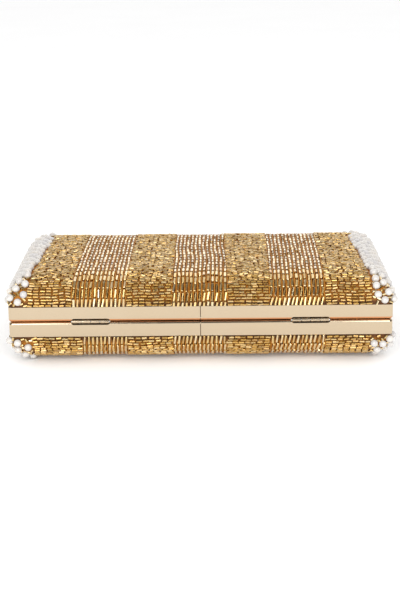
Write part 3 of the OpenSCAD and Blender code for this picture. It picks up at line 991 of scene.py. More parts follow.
@dataclass
class PearlEnd:
    """A cap of pearls over one end of one half, with loose pearls and gold beads at its corners.

    Pearls in a row are a pitch apart, and each row is half a pitch on from the next. The edges are
    how far pearls and beads keep from the gold band, and corner_runs is in millimetres.
    """

    case: Case
    pearl: Pearl
    side: Side
    start: Line
    pitch: float = 7.3 * MM
    row_pitch: float = 2.12 * MM
    stand: float = 1.6 * MM
    dense_until: float = 43.5 * MM
    loose_gap: float = 4.4 * MM
    packed_gap: float = 4.1 * MM
    pearl_edge: float = 1.2 * MM
    loose_edge: float = 1.0 * MM
    bead_edge: float = 0.7 * MM
    corner_start: float = 1.5 * MM
    frame_gap: float = 0.1 * MM
    bead_frame_gap: float = 1.05 * MM
    bead_to_pearl: float = 2.35 * MM
    bead_to_bead: float = 1.95 * MM
    dot_height: float = 0.75 * MM
    filler_height: float = 1.0 * MM
    wander_size: float = 0.35 * MM
    wander_reach: float = 60 * MM
    scatter_size: float = 0.07 * MM
    corner_runs: tuple[float, float] = (20, 75)
    pearl_tries: int = 5200
    filler_tries: int = 9000
    seed: int = 3
    spots: list = field(default_factory=list)

    def dome(self, height: float) -> Dome:
        """The surface at a height above the cloth."""
        return Dome(self.case, self.case.cloth_inset - height, self.case.cloth_top + height)

    def beyond(self, point: Array) -> float:
        """How far a point lies past the line where the pearls start."""
        share = point[1] / self.case.depth + 0.5
        return abs(point[0]) - abs(float(self.start.at(share)))

    def ring_point(self, dome: Dome, phi: float, run: float) -> tuple[Array, Array, Array]:
        """A place on a ring, measured from the middle of the end.

        Args:
            dome: The surface.
            phi: Crown angle of the ring.
            run: Distance along the ring, negative towards the hinges.

        Returns:
            The point, its normal and the direction along the ring.
        """
        a, b, r, z = (float(v) for v in dome.rings(np.array(phi)))
        sign, away = self.side.value, math.copysign(1, run)
        straight = b - r
        if abs(run) <= straight:
            point, turn = np.array([a * sign, run, z]), 0.0
        else:
            turn = (abs(run) - straight) / r
            if turn <= math.pi / 2:
                point = np.array([
                    (a - r + r * math.cos(turn)) * sign, away * (b - r + r * math.sin(turn)), z
                ])
            else:
                beyond = abs(run) - straight - r * math.pi / 2
                turn = math.pi / 2
                point = np.array([(a - r - beyond) * sign, away * b, z])
        across, along = math.cos(turn) * sign, math.sin(turn) * away
        normal = dome.normals(np.array([phi]), np.array([across]), np.array([along]))[0]
        tangent = np.array([-abs(along) * sign, math.cos(turn) * away, 0])
        return point, normal, unit(tangent)

    def crown_angles(self, dome: Dome) -> list[float]:
        """Crown angles of the rows of pearls, evenly spaced from the frame to the gold band.

        Args:
            dome: The surface that the pearls' middles lie on.

        Returns:
            One crown angle for each row, from the frame upwards.
        """
        phi = np.linspace(0.002, math.pi / 2 - 0.002, 600)
        a, _, _, z = dome.rings(phi)
        s = np.concatenate([[0], np.cumsum(np.hypot(np.diff(a), np.diff(z)))])
        nearest = min(abs(self.start.hinges), abs(self.start.clasp))
        last = float(np.interp(-(nearest + self.pearl.radius * 0.6), -a, s))
        first = self.pearl.radius + self.frame_gap
        rows = int(round((last - first) / self.row_pitch))
        wanted = first + (last - first) * np.arange(rows + 1) / rows
        return [float(np.interp(w, s, phi)) for w in wanted]

    def pack(self, strand: Strand, dots: Strand) -> None:
        """Lays the dense rows of pearls, and a small gold bead in each gap between them.

        Args:
            strand: Takes the pearls.
            dots: Takes the small gold beads.
        """
        rng = np.random.default_rng(self.seed)
        dome, low = self.dome(self.stand), self.dome(self.dot_height)
        angles = self.crown_angles(dome)
        for k, phi in enumerate(angles):
            wander = Wave(self.wander_size, self.wander_reach, self.seed * 7 + k)
            runs = (np.arange(-9, 10) + (0.5 if k % 2 else 0.0)) * self.pitch
            for run in runs:
                point, normal, tangent = self.ring_point(dome, phi, run)
                if abs(point[1]) > self.dense_until or self.beyond(point) < self.pearl_edge:
                    continue
                point = point + np.array([0, 0, float(wander(run)) * 0.3])
                point = point + rng.normal(0, self.scatter_size, 3)
                self.spots.append(point)
                spin = rng.normal(0, 0.3)
                axis = tangent * math.cos(spin) + np.cross(normal, tangent) * math.sin(spin)
                strand.sew(point, axis, normal, rng.random() * 6, 1.0, rng.normal(0.99, 0.012))
            if k + 1 == len(angles):
                continue
            for run in np.concatenate([runs - self.pitch / 3, runs + self.pitch / 3]):
                point, normal, tangent = self.ring_point(low, phi, run)
                if abs(point[1]) > self.dense_until or self.beyond(point) < self.loose_edge:
                    continue
                dots.sew(point, tangent, normal, rng.random() * 6, 1.0, 1.0)

    def scatter(self, strand: Strand, fill: Strand) -> None:
        """Lays loose pearls and gold beads round the corners of the end.

        Args:
            strand: Takes the pearls.
            fill: Takes the short gold bugles.
        """
        rng = np.random.default_rng(self.seed + 50)
        dome, low = self.dome(self.stand), self.dome(self.filler_height)
        phis = np.linspace(0.05, 1.45, 60)
        tries = []
        for _ in range(self.pearl_tries):
            phi = float(phis[rng.integers(len(phis))])
            run = rng.uniform(*self.corner_runs) * MM * rng.choice([-1, 1])
            point, normal, tangent = self.ring_point(dome, phi, run)
            corner = abs(point[1]) > self.dense_until + self.corner_start
            above = point[2] > self.case.frame_height + self.pearl.radius + self.frame_gap
            if corner and above and self.beyond(point) > self.loose_edge:
                tries.append((phi, run, point, normal, tangent))
        loose: list[Array] = []
        for phi, run, point, normal, tangent in tries:
            near = [np.linalg.norm(point - q) for q in loose]
            packed = [np.linalg.norm(point - q) for q in self.spots]
            if (near and min(near) < self.loose_gap) or (packed and min(packed) < self.packed_gap):
                continue
            loose.append(point)
            strand.sew(point, tangent, normal, rng.random() * 6, 1.0, rng.normal(1.0, 0.012))
        pearls = np.array(self.spots + loose)
        laid: list[Array] = []
        for _ in range(self.filler_tries):
            phi = float(rng.uniform(0.01, 1.5))
            run = rng.uniform(*self.corner_runs) * MM * rng.choice([-1, 1])
            point, normal, tangent = self.ring_point(low, phi, run)
            if abs(point[1]) < self.dense_until - 1 * MM or self.beyond(point) < self.bead_edge:
                continue
            if point[2] < self.case.frame_height + self.bead_frame_gap:
                continue
            if np.linalg.norm(pearls - point, axis=1).min() < self.bead_to_pearl:
                continue
            if laid and np.linalg.norm(np.array(laid) - point, axis=1).min() < self.bead_to_bead:
                continue
            laid.append(point)
            spin = rng.normal(0, 0.6)
            axis = tangent * math.cos(spin) + np.cross(normal, tangent) * math.sin(spin)
            fill.sew(point, axis, normal, rng.random() * 6, rng.uniform(0.6, 0.9), 0.95)


# ------------------------------------------------------------------------------------ materials


class Tree:
    """A node tree that is wired up by name."""

    def __init__(self, tree: bpy.types.NodeTree) -> None:
        """Takes over a tree, as it is."""
        self.tree = tree

    def add(self, kind: str, **values: object) -> bpy.types.Node:
        """Adds a node.

        Args:
            kind: The node's type, without its ShaderNode prefix.
            values: Its properties, and its inputs by name with _ for a space.

        Returns:
            The new node.
        """
        node = self.tree.nodes.new("ShaderNode" + kind)
        for key, value in values.items():
            name = key.replace("_", " ")
            found = [s for s in node.inputs if s.name.lower() == name.lower()]
            if hasattr(node, key) and not found:
                setattr(node, key, value)
            elif isinstance(value, bpy.types.NodeSocket):
                self.tree.links.new(value, found[0])
            else:
                found[0].default_value = value
        return node

    def maths(self, operation: str, a: object, b: object = 0.0) -> bpy.types.NodeSocket:
        """A Math node's result, for two numbers or sockets.

        Args:
            operation: Name of the operation.
            a: Its first value, a number or a socket.
            b: Its second value.

        Returns:
            The node's result.
        """
        node = self.tree.nodes.new("ShaderNodeMath")
        node.operation = operation
        for socket, value in zip(node.inputs, (a, b)):
            if isinstance(value, bpy.types.NodeSocket):
                self.tree.links.new(value, socket)
            else:
                socket.default_value = value
        return node.outputs[0]

    def blend(self, share: object, a: object, b: object) -> bpy.types.NodeSocket:
        """A colour between two colours, by a share from 0 to 1.

        Args:
            share: 0 for the first colour, 1 for the second.
            a: The first colour.
            b: The second colour.

        Returns:
            The mixed colour.
        """
        node = self.tree.nodes.new("ShaderNodeMix")
        node.data_type = "RGBA"
        for index, value in ((0, share), (6, a), (7, b)):
            if isinstance(value, bpy.types.NodeSocket):
                self.tree.links.new(value, node.inputs[index])
            elif index == 0:
                node.inputs[index].default_value = value
            else:
                node.inputs[index].default_value = (*value, 1.0)
        return node.outputs[2]

    def span(self, value: object, low: float, high: float) -> bpy.types.NodeSocket:
        """Stretches a value from 0..1 to low..high.

        Args:
            value: A value from 0 to 1.
            low: The result where it is 0.
            high: The result where it is 1.

        Returns:
            The stretched value.
        """
        node = self.tree.nodes.new("ShaderNodeMapRange")
        self.tree.links.new(value, node.inputs[0])
        node.inputs[3].default_value, node.inputs[4].default_value = low, high
        return node.outputs[0]

    def step(self, value: object, low: float, high: float) -> bpy.types.NodeSocket:
        """0 below low, 1 above high, and a soft step between them. They may be swapped.

        Args:
            value: Any value.
            low: Where the step starts.
            high: Where it ends.

        Returns:
            How far up the step the value is.
        """
        node = self.tree.nodes.new("ShaderNodeMapRange")
        node.interpolation_type = "SMOOTHSTEP"
        self.tree.links.new(value, node.inputs[0])
        node.inputs[1].default_value, node.inputs[2].default_value = low, high
        return node.outputs[0]

    def link(self, a: bpy.types.NodeSocket, b: bpy.types.NodeSocket) -> None:
        """Joins an output to an input."""
        self.tree.links.new(a, b)


def new_group(name: str, inputs: dict, outputs: dict) -> tuple[Tree, object, object]:
    """Starts a shader node group.

    Args:
        name: The group's name.
        inputs: Socket type by name.
        outputs: Socket type by name.

    Returns:
        The group's tree, its input node and its output node.
    """
    group = bpy.data.node_groups.new(name, "ShaderNodeTree")
    for label, kind in inputs.items():
        group.interface.new_socket(label, in_out="INPUT", socket_type="NodeSocket" + kind)
    for label, kind in outputs.items():
        group.interface.new_socket(label, in_out="OUTPUT", socket_type="NodeSocket" + kind)
    tree = Tree(group)
    return tree, group.nodes.new("NodeGroupInput"), group.nodes.new("NodeGroupOutput")


class Effects:
    """The effects that several finishes share, each built once as a node group."""

    def __init__(self) -> None:
        """Builds every group."""
        self.grain = self._grain()
        self.weave = self._weave()
        self.scratches = self._scratches()
        self.tints = self._tints()

    @staticmethod
    def _grain() -> bpy.types.NodeTree:
        """Fine unevenness of a surface, from broad clouds to small pits.

        Returns:
            The group's tree.
        """
        t, i, o = new_group(
            "fine_grain",
            {"Vector": "Vector", "Clouds": "Float", "Pits": "Float"},
            {"Clouds": "Float", "Height": "Float"},
        )
        clouds = t.add("TexNoise", Vector=i.outputs[0], Scale=i.outputs[1], Detail=3.0)
        pits = t.add("TexNoise", Vector=i.outputs[0], Scale=i.outputs[2], Detail=2.0, Roughness=0.7)
        t.link(clouds.outputs[0], o.inputs[0])
        t.link(t.maths("ADD", clouds.outputs[0], pits.outputs[0]), o.inputs[1])
        return t.tree

    @staticmethod
    def _weave() -> bpy.types.NodeTree:
        """Plain weave: two crossing sets of threads, each going over and under the other.

        Returns:
            The group's tree.
        """
        t, i, o = new_group(
            "plain_weave",
            {"Vector": "Vector", "Threads": "Float", "Slub": "Float"},
            {"Height": "Float", "Gap": "Float", "Slub": "Float"},
        )
        scaled = t.add("VectorMath", operation="SCALE")
        t.link(i.outputs[0], scaled.inputs[0])
        t.link(i.outputs[1], scaled.inputs[3])
        parts = t.add("SeparateXYZ", Vector=scaled.outputs[0])
        u = t.maths("ADD", parts.outputs[0], t.maths("MULTIPLY", parts.outputs[2], 0.5))
        v = t.maths("ADD", parts.outputs[1], t.maths("MULTIPLY", parts.outputs[2], 0.8))
        warp = t.maths("ABSOLUTE", t.maths("SINE", t.maths("MULTIPLY", u, math.pi)))
        weft = t.maths("ABSOLUTE", t.maths("SINE", t.maths("MULTIPLY", v, math.pi)))
        check = t.maths(
            "PINGPONG", t.maths("ADD", t.maths("FLOOR", u), t.maths("FLOOR", v)), 1.0
        )
        over = t.maths("MULTIPLY", warp, t.maths("ADD", t.maths("MULTIPLY", check, 0.6), 0.4))
        under = t.maths(
            "MULTIPLY", weft, t.maths("ADD", t.maths("MULTIPLY", check, -0.6), 1.0)
        )
        height = t.maths("MAXIMUM", over, under)
        slub = t.add("TexNoise", Vector=i.outputs[0], Scale=i.outputs[2], Detail=2.0)
        t.link(height, o.inputs[0])
        t.link(t.maths("MULTIPLY", warp, weft), o.inputs[1])
        t.link(slub.outputs[0], o.inputs[2])
        return t.tree

    @staticmethod
    def _scratches() -> bpy.types.NodeTree:
        """Hairline marks that run mostly one way, and faint smudges.

        Returns:
            The group's tree.
        """
        t, i, o = new_group(
            "hairlines",
            {"Vector": "Vector", "Fineness": "Float"},
            {"Lines": "Float", "Smudge": "Float"},
        )
        long_way = t.add("VectorMath", operation="MULTIPLY")
        t.link(i.outputs[0], long_way.inputs[0])
        long_way.inputs[1].default_value = (0.06, 0.3, 1.0)
        lines = t.add("TexNoise", Vector=long_way.outputs[0], Scale=i.outputs[1], Detail=4.0)
        smudge = t.add("TexNoise", Vector=i.outputs[0], Scale=55.0, Detail=3.0)
        t.link(lines.outputs[0], o.inputs[0])
        t.link(smudge.outputs[0], o.inputs[1])
        return t.tree

    @staticmethod
    def _tints() -> bpy.types.NodeTree:
        """Colour that varies a little from bead to bead.

        Returns:
            The group's tree.
        """
        t, i, o = new_group(
            "bead_tints",
            {"Bead": "Vector", "Deep": "Color", "Main": "Color", "Pale": "Color"},
            {"Colour": "Color", "Random": "Float"},
        )
        parts = t.add("SeparateXYZ", Vector=i.outputs[0])
        deep = t.maths("POWER", parts.outputs[0], 5.0)
        pale = t.maths("POWER", parts.outputs[1], 3.0)
        darker = t.blend(deep, i.outputs[2], i.outputs[1])
        mixed = t.blend(t.maths("MULTIPLY", pale, 0.7), darker, i.outputs[3])
        t.link(mixed, o.inputs[0])
        t.link(parts.outputs[2], o.inputs[1])
        return t.tree


def start_material(name: str) -> tuple[bpy.types.Material, Tree, bpy.types.Node]:
    """Makes a material with one Principled shader.

    Args:
        name: Name of the finish.

    Returns:
        The material, its tree and the shader.
    """
    material = bpy.data.materials.new(name)
    material.use_nodes = True
    tree = Tree(material.node_tree)
    return material, tree, material.node_tree.nodes["Principled BSDF"]


def use_group(tree: Tree, group: bpy.types.NodeTree, **values: object) -> bpy.types.Node:
    """Places a node group in a tree with its own values.

    Args:
        tree: The tree that gets the group.
        group: The group.
        values: Its inputs by name.

    Returns:
        The group's node.
    """
    node = tree.tree.nodes.new("ShaderNodeGroup")
    node.node_tree = group
    for key, value in values.items():
        if isinstance(value, bpy.types.NodeSocket):
            tree.link(value, node.inputs[key])
        else:
            node.inputs[key].default_value = value
    return node


def add_bump(tree: Tree, shader: bpy.types.Node, height: object, depth: float) -> None:
    """Gives the shader a bump from a height that goes from 0 to 1, which is depth metres."""
    bump = tree.add("Bump", Strength=1.0, Distance=depth, Height=height)
    tree.link(bump.outputs[0], shader.inputs["Normal"])


@dataclass(frozen=True)
class Metal:
    """A plated or bare metal with hairlines and smudges.

    Where lip gives two heights, a copper reflection is painted on the outer edge below them.
    """

    name: str
    colour: tuple[float, float, float]
    worn: tuple[float, float, float]
    rough: float = 0.28
    spread: float = 0.1
    lines: float = 2600.0
    depth: float = 0.004 * MM
    lip: tuple[float, float] = ()
    lip_width: float = 1.3 * MM
    # Colour of the painted copper reflection on the outer rolled edge.
    copper: tuple[float, float, float] = (0.60, 0.265, 0.115)

    def build(self, effects: Effects) -> bpy.types.Material:
        """Builds the material.

        Args:
            effects: The shared node groups.

        Returns:
            The material.
        """
        material, t, shader = start_material(self.name)
        where = t.add("TexCoord").outputs["Object"]
        marks = use_group(t, effects.scratches, Vector=where, Fineness=self.lines)
        grain = use_group(t, effects.grain, Vector=where, Clouds=120.0, Pits=9000.0)
        wear = t.maths("POWER", marks.outputs["Smudge"], 3.0)
        colour = t.blend(wear, self.colour, self.worn)
        # Painted reflection: a copper tint on the outer rolled edge, below the lip heights.
        if self.lip:
            x, y, z = t.add("SeparateXYZ", Vector=where).outputs
            in_x = t.maths("SUBTRACT", t.maths("ABSOLUTE", x), Case().width / 2 - self.lip_width)
            in_y = t.maths("SUBTRACT", t.maths("ABSOLUTE", y), Case().depth / 2 - self.lip_width)
            outside = t.step(t.maths("MAXIMUM", in_x, in_y), -0.1 * MM, 0.1 * MM)
            painted_reflection_mask = t.maths("MULTIPLY", outside, t.step(z, *self.lip))
            colour = t.blend(painted_reflection_mask, colour, self.copper)
        t.link(colour, shader.inputs["Base Color"])
        mixed = t.maths("MULTIPLY", marks.outputs["Lines"], grain.outputs["Clouds"])
        rough = t.span(mixed, self.rough - self.spread / 2, self.rough + 2 * self.spread)
        t.link(rough, shader.inputs["Roughness"])
        shader.inputs["Metallic"].default_value = 1.0
        add_bump(t, shader, t.maths("ADD", marks.outputs["Lines"], grain.outputs["Height"]),
                 self.depth)
        return material


@dataclass(frozen=True)
class BeadGlass:
    """Gold-lined glass: a bright metal lining under a clear, slightly uneven skin."""

    name: str
    deep: tuple[float, float, float]
    main: tuple[float, float, float]
    pale: tuple[float, float, float]
    rough: float = 0.16
    skin: float = 1.65

    def build(self, effects: Effects) -> bpy.types.Material:
        """Builds the material, whose tint changes from bead to bead.

        Args:
            effects: The shared node groups.

        Returns:
            The material.
        """
        material, t, shader = start_material(self.name)
        bead = t.add("Attribute", attribute_name=BEAD_DATA).outputs["Vector"]
        where = t.add("TexCoord").outputs["Object"]
        tints = use_group(
            t, effects.tints, Bead=bead,
            Deep=(*self.deep, 1), Main=(*self.main, 1), Pale=(*self.pale, 1),
        )
        grain = use_group(t, effects.grain, Vector=where, Clouds=700.0, Pits=3800.0)
        t.link(tints.outputs["Colour"], shader.inputs["Base Color"])
        rough = t.maths(
            "ADD", t.span(tints.outputs["Random"], self.rough * 0.6, self.rough * 1.5),
            t.span(grain.outputs["Clouds"], -0.03, 0.05),
        )
        t.link(rough, shader.inputs["Roughness"])
        shader.inputs["Metallic"].default_value = 1.0
        shader.inputs["Coat Weight"].default_value = 1.0
        shader.inputs["Coat Roughness"].default_value = 0.06
        shader.inputs["Coat IOR"].default_value = self.skin
        add_bump(t, shader, grain.outputs["Height"], 0.02 * MM)
        return material


@dataclass(frozen=True)
class PearlSkin:
    """A pearl's coat: soft white with a faint cool and rosy play of colour."""

    name: str
    white: tuple[float, float, float] = (0.58, 0.555, 0.515)
    cool: tuple[float, float, float] = (0.45, 0.43, 0.43)
    warm: tuple[float, float, float] = (0.60, 0.535, 0.46)

    def build(self, effects: Effects) -> bpy.types.Material:
        """Builds the material.

        Args:
            effects: The shared node groups.

        Returns:
            The material.
        """
        material, t, shader = start_material(self.name)
        bead = t.add("Attribute", attribute_name=BEAD_DATA).outputs["Vector"]
        where = t.add("TexCoord").outputs["Object"]
        tints = use_group(
            t, effects.tints, Bead=bead,
            Deep=(*self.cool, 1), Main=(*self.white, 1), Pale=(*self.warm, 1),
        )
        grain = use_group(t, effects.grain, Vector=where, Clouds=420.0, Pits=5200.0)
        clouds = t.span(grain.outputs["Clouds"], -0.4, 0.9)
        colour = t.blend(clouds, tints.outputs["Colour"], self.cool)
        t.link(colour, shader.inputs["Base Color"])
        t.link(t.span(tints.outputs["Random"], 0.2, 0.34), shader.inputs["Roughness"])
        shader.inputs["Coat Weight"].default_value = 0.6
        shader.inputs["Coat Roughness"].default_value = 0.12
        shader.inputs["Subsurface Weight"].default_value = 0.0
        add_bump(t, shader, grain.outputs["Height"], 0.01 * MM)
        return material


@dataclass(frozen=True)
class Woven:
    """A woven cloth.

    Two distances from the middle plane may be given for painted shade: the cloth darkens most
    within the first and fades back by the second, as the frame shades it. Ripple is how far the
    cloth lifts between the places where it is stuck.
    """

    name: str
    thread: tuple[float, float, float]
    gap: tuple[float, float, float]
    threads: float = 2600.0
    rough: float = 0.62
    sheen: float = 0.0
    metallic: float = 0.0
    depth: float = 0.05 * MM
    # Heights of the painted shade near the frame, and the colour of that shade.
    glued: tuple[float, float] = ()
    stain: tuple[float, float, float] = (0.07, 0.02, 0.004)
    ripple: float = 0.0

    def build(self, effects: Effects) -> bpy.types.Material:
        """Builds the material.

        Args:
            effects: The shared node groups.

        Returns:
            The material.
        """
        material, t, shader = start_material(self.name)
        where = t.add("TexCoord").outputs["Object"]
        weave = use_group(t, effects.weave, Vector=where, Threads=self.threads, Slub=260.0)
        shade = t.maths("MULTIPLY", weave.outputs["Gap"], t.span(weave.outputs["Slub"], 0.75, 1.15))
        colour = t.blend(shade, self.gap, self.thread)
        # Painted shade: the cloth darkens towards the frame, where the frame shades it.
        if self.glued:
            height = t.add("SeparateXYZ", Vector=where).outputs[2]
            above = t.maths("ABSOLUTE", t.maths("SUBTRACT", height, Case().middle))
            dark = t.step(above, self.glued[1], self.glued[0])
            colour = t.blend(t.maths("MULTIPLY", dark, 0.88), colour, self.stain)
        t.link(colour, shader.inputs["Base Color"])
        t.link(t.span(weave.outputs["Slub"], self.rough - 0.1, self.rough + 0.12),
               shader.inputs["Roughness"])
        shader.inputs["Metallic"].default_value = self.metallic
        shader.inputs["Sheen Weight"].default_value = self.sheen
        shader.inputs["Sheen Roughness"].default_value = 0.35
        add_bump(t, shader, weave.outputs["Height"], self.depth)
        if self.ripple:
            swell = t.add("TexNoise", Vector=where, Scale=46.0, Detail=1.5, Distortion=0.6)
            loose = t.add("Bump", Strength=1.0, Distance=self.ripple, Height=swell.outputs[0])
            t.link(loose.outputs[0], shader.inputs["Normal"].links[0].from_node.inputs["Normal"])
        return material


@dataclass(frozen=True)
class Fibrous:
    """Pressed board or loose wadding: fibres with no direction."""

    name: str
    light: tuple[float, float, float]
    dark: tuple[float, float, float]
    size: float = 900.0
    depth: float = 0.08 * MM

    def build(self, effects: Effects) -> bpy.types.Material:
        """Builds the material.

        Args:
            effects: The shared node groups.

        Returns:
            The material.
        """
        material, t, shader = start_material(self.name)
        where = t.add("TexCoord").outputs["Object"]
        grain = use_group(t, effects.grain, Vector=where, Clouds=self.size / 6, Pits=self.size)
        t.link(t.blend(grain.outputs["Clouds"], self.dark, self.light),
               shader.inputs["Base Color"])
        t.link(t.span(grain.outputs["Clouds"], 0.7, 0.95), shader.inputs["Roughness"])
        add_bump(t, shader, grain.outputs["Height"], self.depth)
        return material


@dataclass
class Palette:
    """Every finish of the bag, built once."""

    effects: Effects
    made: dict = field(default_factory=dict)

    def __post_init__(self) -> None:
        """Builds the finishes."""
        finishes = [
            Metal("champagne_plate", (0.565, 0.45, 0.31), (0.60, 0.495, 0.36), rough=0.13,
                  spread=0.04),
            # The front frame's plate, with a painted copper reflection on its outer rolled edge.
            Metal("copper_lipped_plate", (0.565, 0.45, 0.31), (0.60, 0.495, 0.36), rough=0.13,
                  spread=0.04, lip=(25.05 * MM, 24.85 * MM)),
            Metal("bright_steel", (0.62, 0.61, 0.60), (0.42, 0.40, 0.38), rough=0.3),
            BeadGlass("gold_lined_glass", (0.50, 0.26, 0.035), (0.70, 0.485, 0.165),
                      (0.88, 0.76, 0.50), skin=1.8),
            BeadGlass("amber_glass", (0.34, 0.16, 0.02), (0.56, 0.33, 0.08),
                      (0.80, 0.62, 0.32), rough=0.22, skin=1.45),
            PearlSkin("pearl_coat"),
            # The ground cloth and the couching threads get painted shade near the frame.
            Woven("gold_ground_cloth", (0.66, 0.27, 0.02), (0.38, 0.13, 0.008), metallic=0.2,
                  glued=(9.0 * MM, 12.5 * MM)),
            Woven("couching_thread", (0.66, 0.27, 0.015), (0.34, 0.12, 0.006), threads=5200.0,
                  metallic=0.2, glued=(9.0 * MM, 12.5 * MM)),
            Woven("satin_lining_cloth", (0.80, 0.66, 0.46), (0.66, 0.50, 0.32),
                  threads=5200.0, rough=0.38, sheen=0.35, depth=0.015 * MM, ripple=3.0 * MM),
            Fibrous("pressed_board", (0.42, 0.34, 0.25), (0.24, 0.18, 0.12)),
            Fibrous("cotton_wadding", (0.86, 0.84, 0.80), (0.70, 0.67, 0.62), size=1400.0,
                    depth=0.3 * MM),
        ]
        for finish in finishes:
            self.made[finish.name] = finish.build(self.effects)

    def __getitem__(self, name: str) -> bpy.types.Material:
        """The finish of that name."""
        return self.made[name]


# ------------------------------------------------------------------------------- sub-assemblies


@dataclass
class Beadwork:
    """All the beads of one half."""

    case: Case
    half: Half
    palette: Palette
    long_bugle: Bugle = Bugle()
    short_bugle: Bugle = Bugle(length=2.85 * MM, radius=0.74 * MM, rim=0.18 * MM)
    seed_bead: Bugle = Bugle(length=1.0 * MM, radius=0.6 * MM, sides=7, hole=0.22 * MM,
                             rim=0.12 * MM, smooth=True)
    pearl: Pearl = Pearl()

    LINES = {
        Half.FRONT: (
            (-90.0, -83.5), (-66.8, -64.2), (-38.5, -36.8), (-14.5, -14.1), (14.3, 13.4),
            (35.8, 37.4), (64.3, 65.8), (89.0, 83.5),
        ),
        Half.BACK: (
            (-88.0, -85.0), (-62.0, -64.5), (-38.4, -37.5), (-14.3, -14.0), (13.9, 14.0),
            (36.4, 37.5), (64.9, 65.5), (88.5, 85.0),
        ),
    }

    def __post_init__(self) -> None:
        """Draws the lines between the stripes, the bands and the pearls."""
        self.lines = [Line(a * MM, b * MM) for a, b in self.LINES[self.half]]

    def _drape(self, west: Line, east: Line) -> Drape:
        """The outside of the beads between two lines, and a little past them."""
        return Drape(self.case.beads(), west.span()[0] - 2 * MM, east.span()[1] + 2 * MM)

    def build(self) -> list[bpy.types.Object]:
        """Sews every bead of this half.

        Returns:
            The finished pieces.
        """
        masters = {
            "long": self.long_bugle.model(),
            "short": self.short_bugle.model(),
            "seed": self.seed_bead.model(),
            "pearl": self.pearl.model(),
        }
        pieces = self._stripes(masters["long"]) + self._bands(masters["short"])
        for side in Side:
            pieces += self._end(side, masters)
        return pieces

    def _own_seed(self, number: int) -> int:
        """A seed that differs between the halves."""
        return number + (400 if self.half is Half.BACK else 0)

    def _keep(
        self, ob: bpy.types.Object, finish: str, node: str
    ) -> bpy.types.Object:
        """Dresses a bead piece and puts it on its body.

        Args:
            ob: The piece.
            finish: Name of its finish.
            node: The smooth solid that it stands for, without the half's name.

        Returns:
            The same piece.
        """
        dress(ob, self.palette[finish])
        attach(ob, self.half.body)
        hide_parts(f"{self.half.body}_{node}")
        return ob

    def _stripes(self, master: Master) -> list[bpy.types.Object]:
        """The three stripes of long bugles.

        Args:
            master: The long bugle.

        Returns:
            The bugles and the threads of each stripe.
        """
        pieces = []
        front = self.half is Half.FRONT
        for number, label in enumerate(("left", "middle", "right")):
            west, east = self.lines[1 + 2 * number], self.lines[2 + 2 * number]
            stripe = Stripe(
                self.case, self.long_bugle, west, east,
                short_row=2.3 * MM if front and label == "middle" else 0.0,
                lean=math.radians(3 + 4 * number) * (-1 if front else 1),
                seed=self._own_seed(number + 4),
            )
            strand, drape = Strand(master, self._own_seed(number + 19)), self._drape(west, east)
            stripe.sew(strand, drape)
            ob = strand.finish(f"{self.half.body}_stripe_{label}", self.case, self.half)
            pieces.append(self._keep(ob, "gold_lined_glass", "bugle_stripes"))
            ob = stripe.threads(f"{self.half.body}_threads_{label}", drape, self.half)
            pieces.append(self._keep(ob, "couching_thread", "bugle_stripes"))
        return pieces

    def _bands(self, master: Master) -> list[bpy.types.Object]:
        """The four bands of short bugles between the stripes.

        Args:
            master: The short bugle.

        Returns:
            One piece for each band.
        """
        pieces = []
        for number, label in enumerate(("left_outer", "left_inner", "right_inner", "right_outer")):
            west, east = self.lines[2 * number], self.lines[2 * number + 1]
            seed = self._own_seed(60 + number)
            strand = Strand(master, seed + 7)
            band = Band(self.case, self.short_bugle, west, east, seed=seed)
            band.sew(strand, self._drape(west, east))
            ob = strand.finish(f"{self.half.body}_band_{label}", self.case, self.half)
            pieces.append(self._keep(ob, "amber_glass", "bead_bands"))
        return pieces

    def _end(self, side: Side, masters: dict) -> list[bpy.types.Object]:
        """The pearls of one end, and the gold beads between them.

        Args:
            side: Which end.
            masters: The modelled beads, by name.

        Returns:
            The pearls, the small beads between them and the gold beads at the corners.
        """
        seed = self._own_seed(90 + int(side.value) * 4)
        pearls, dots = Strand(masters["pearl"], seed), Strand(masters["seed"], seed + 1)
        fill = Strand(masters["short"], seed + 2)
        end = PearlEnd(
            self.case, self.pearl, side,
            start=self.lines[0 if side is Side.LEFT else -1], seed=seed,
        )
        end.pack(pearls, dots)
        end.scatter(pearls, fill)
        stem = f"{self.half.body}_end_{side.label}"
        kinds = (
            (pearls, "pearls", "pearl_coat", "pearls"),
            (dots, "dots", "gold_lined_glass", "gold_beads"),
            (fill, "corner_beads", "gold_lined_glass", "gold_beads"),
        )
        return [
            self._keep(
                strand.finish(f"{stem}_{label}", self.case, self.half), finish, "pearl_ends"
            )
            for strand, label, finish, slot in kinds
        ]


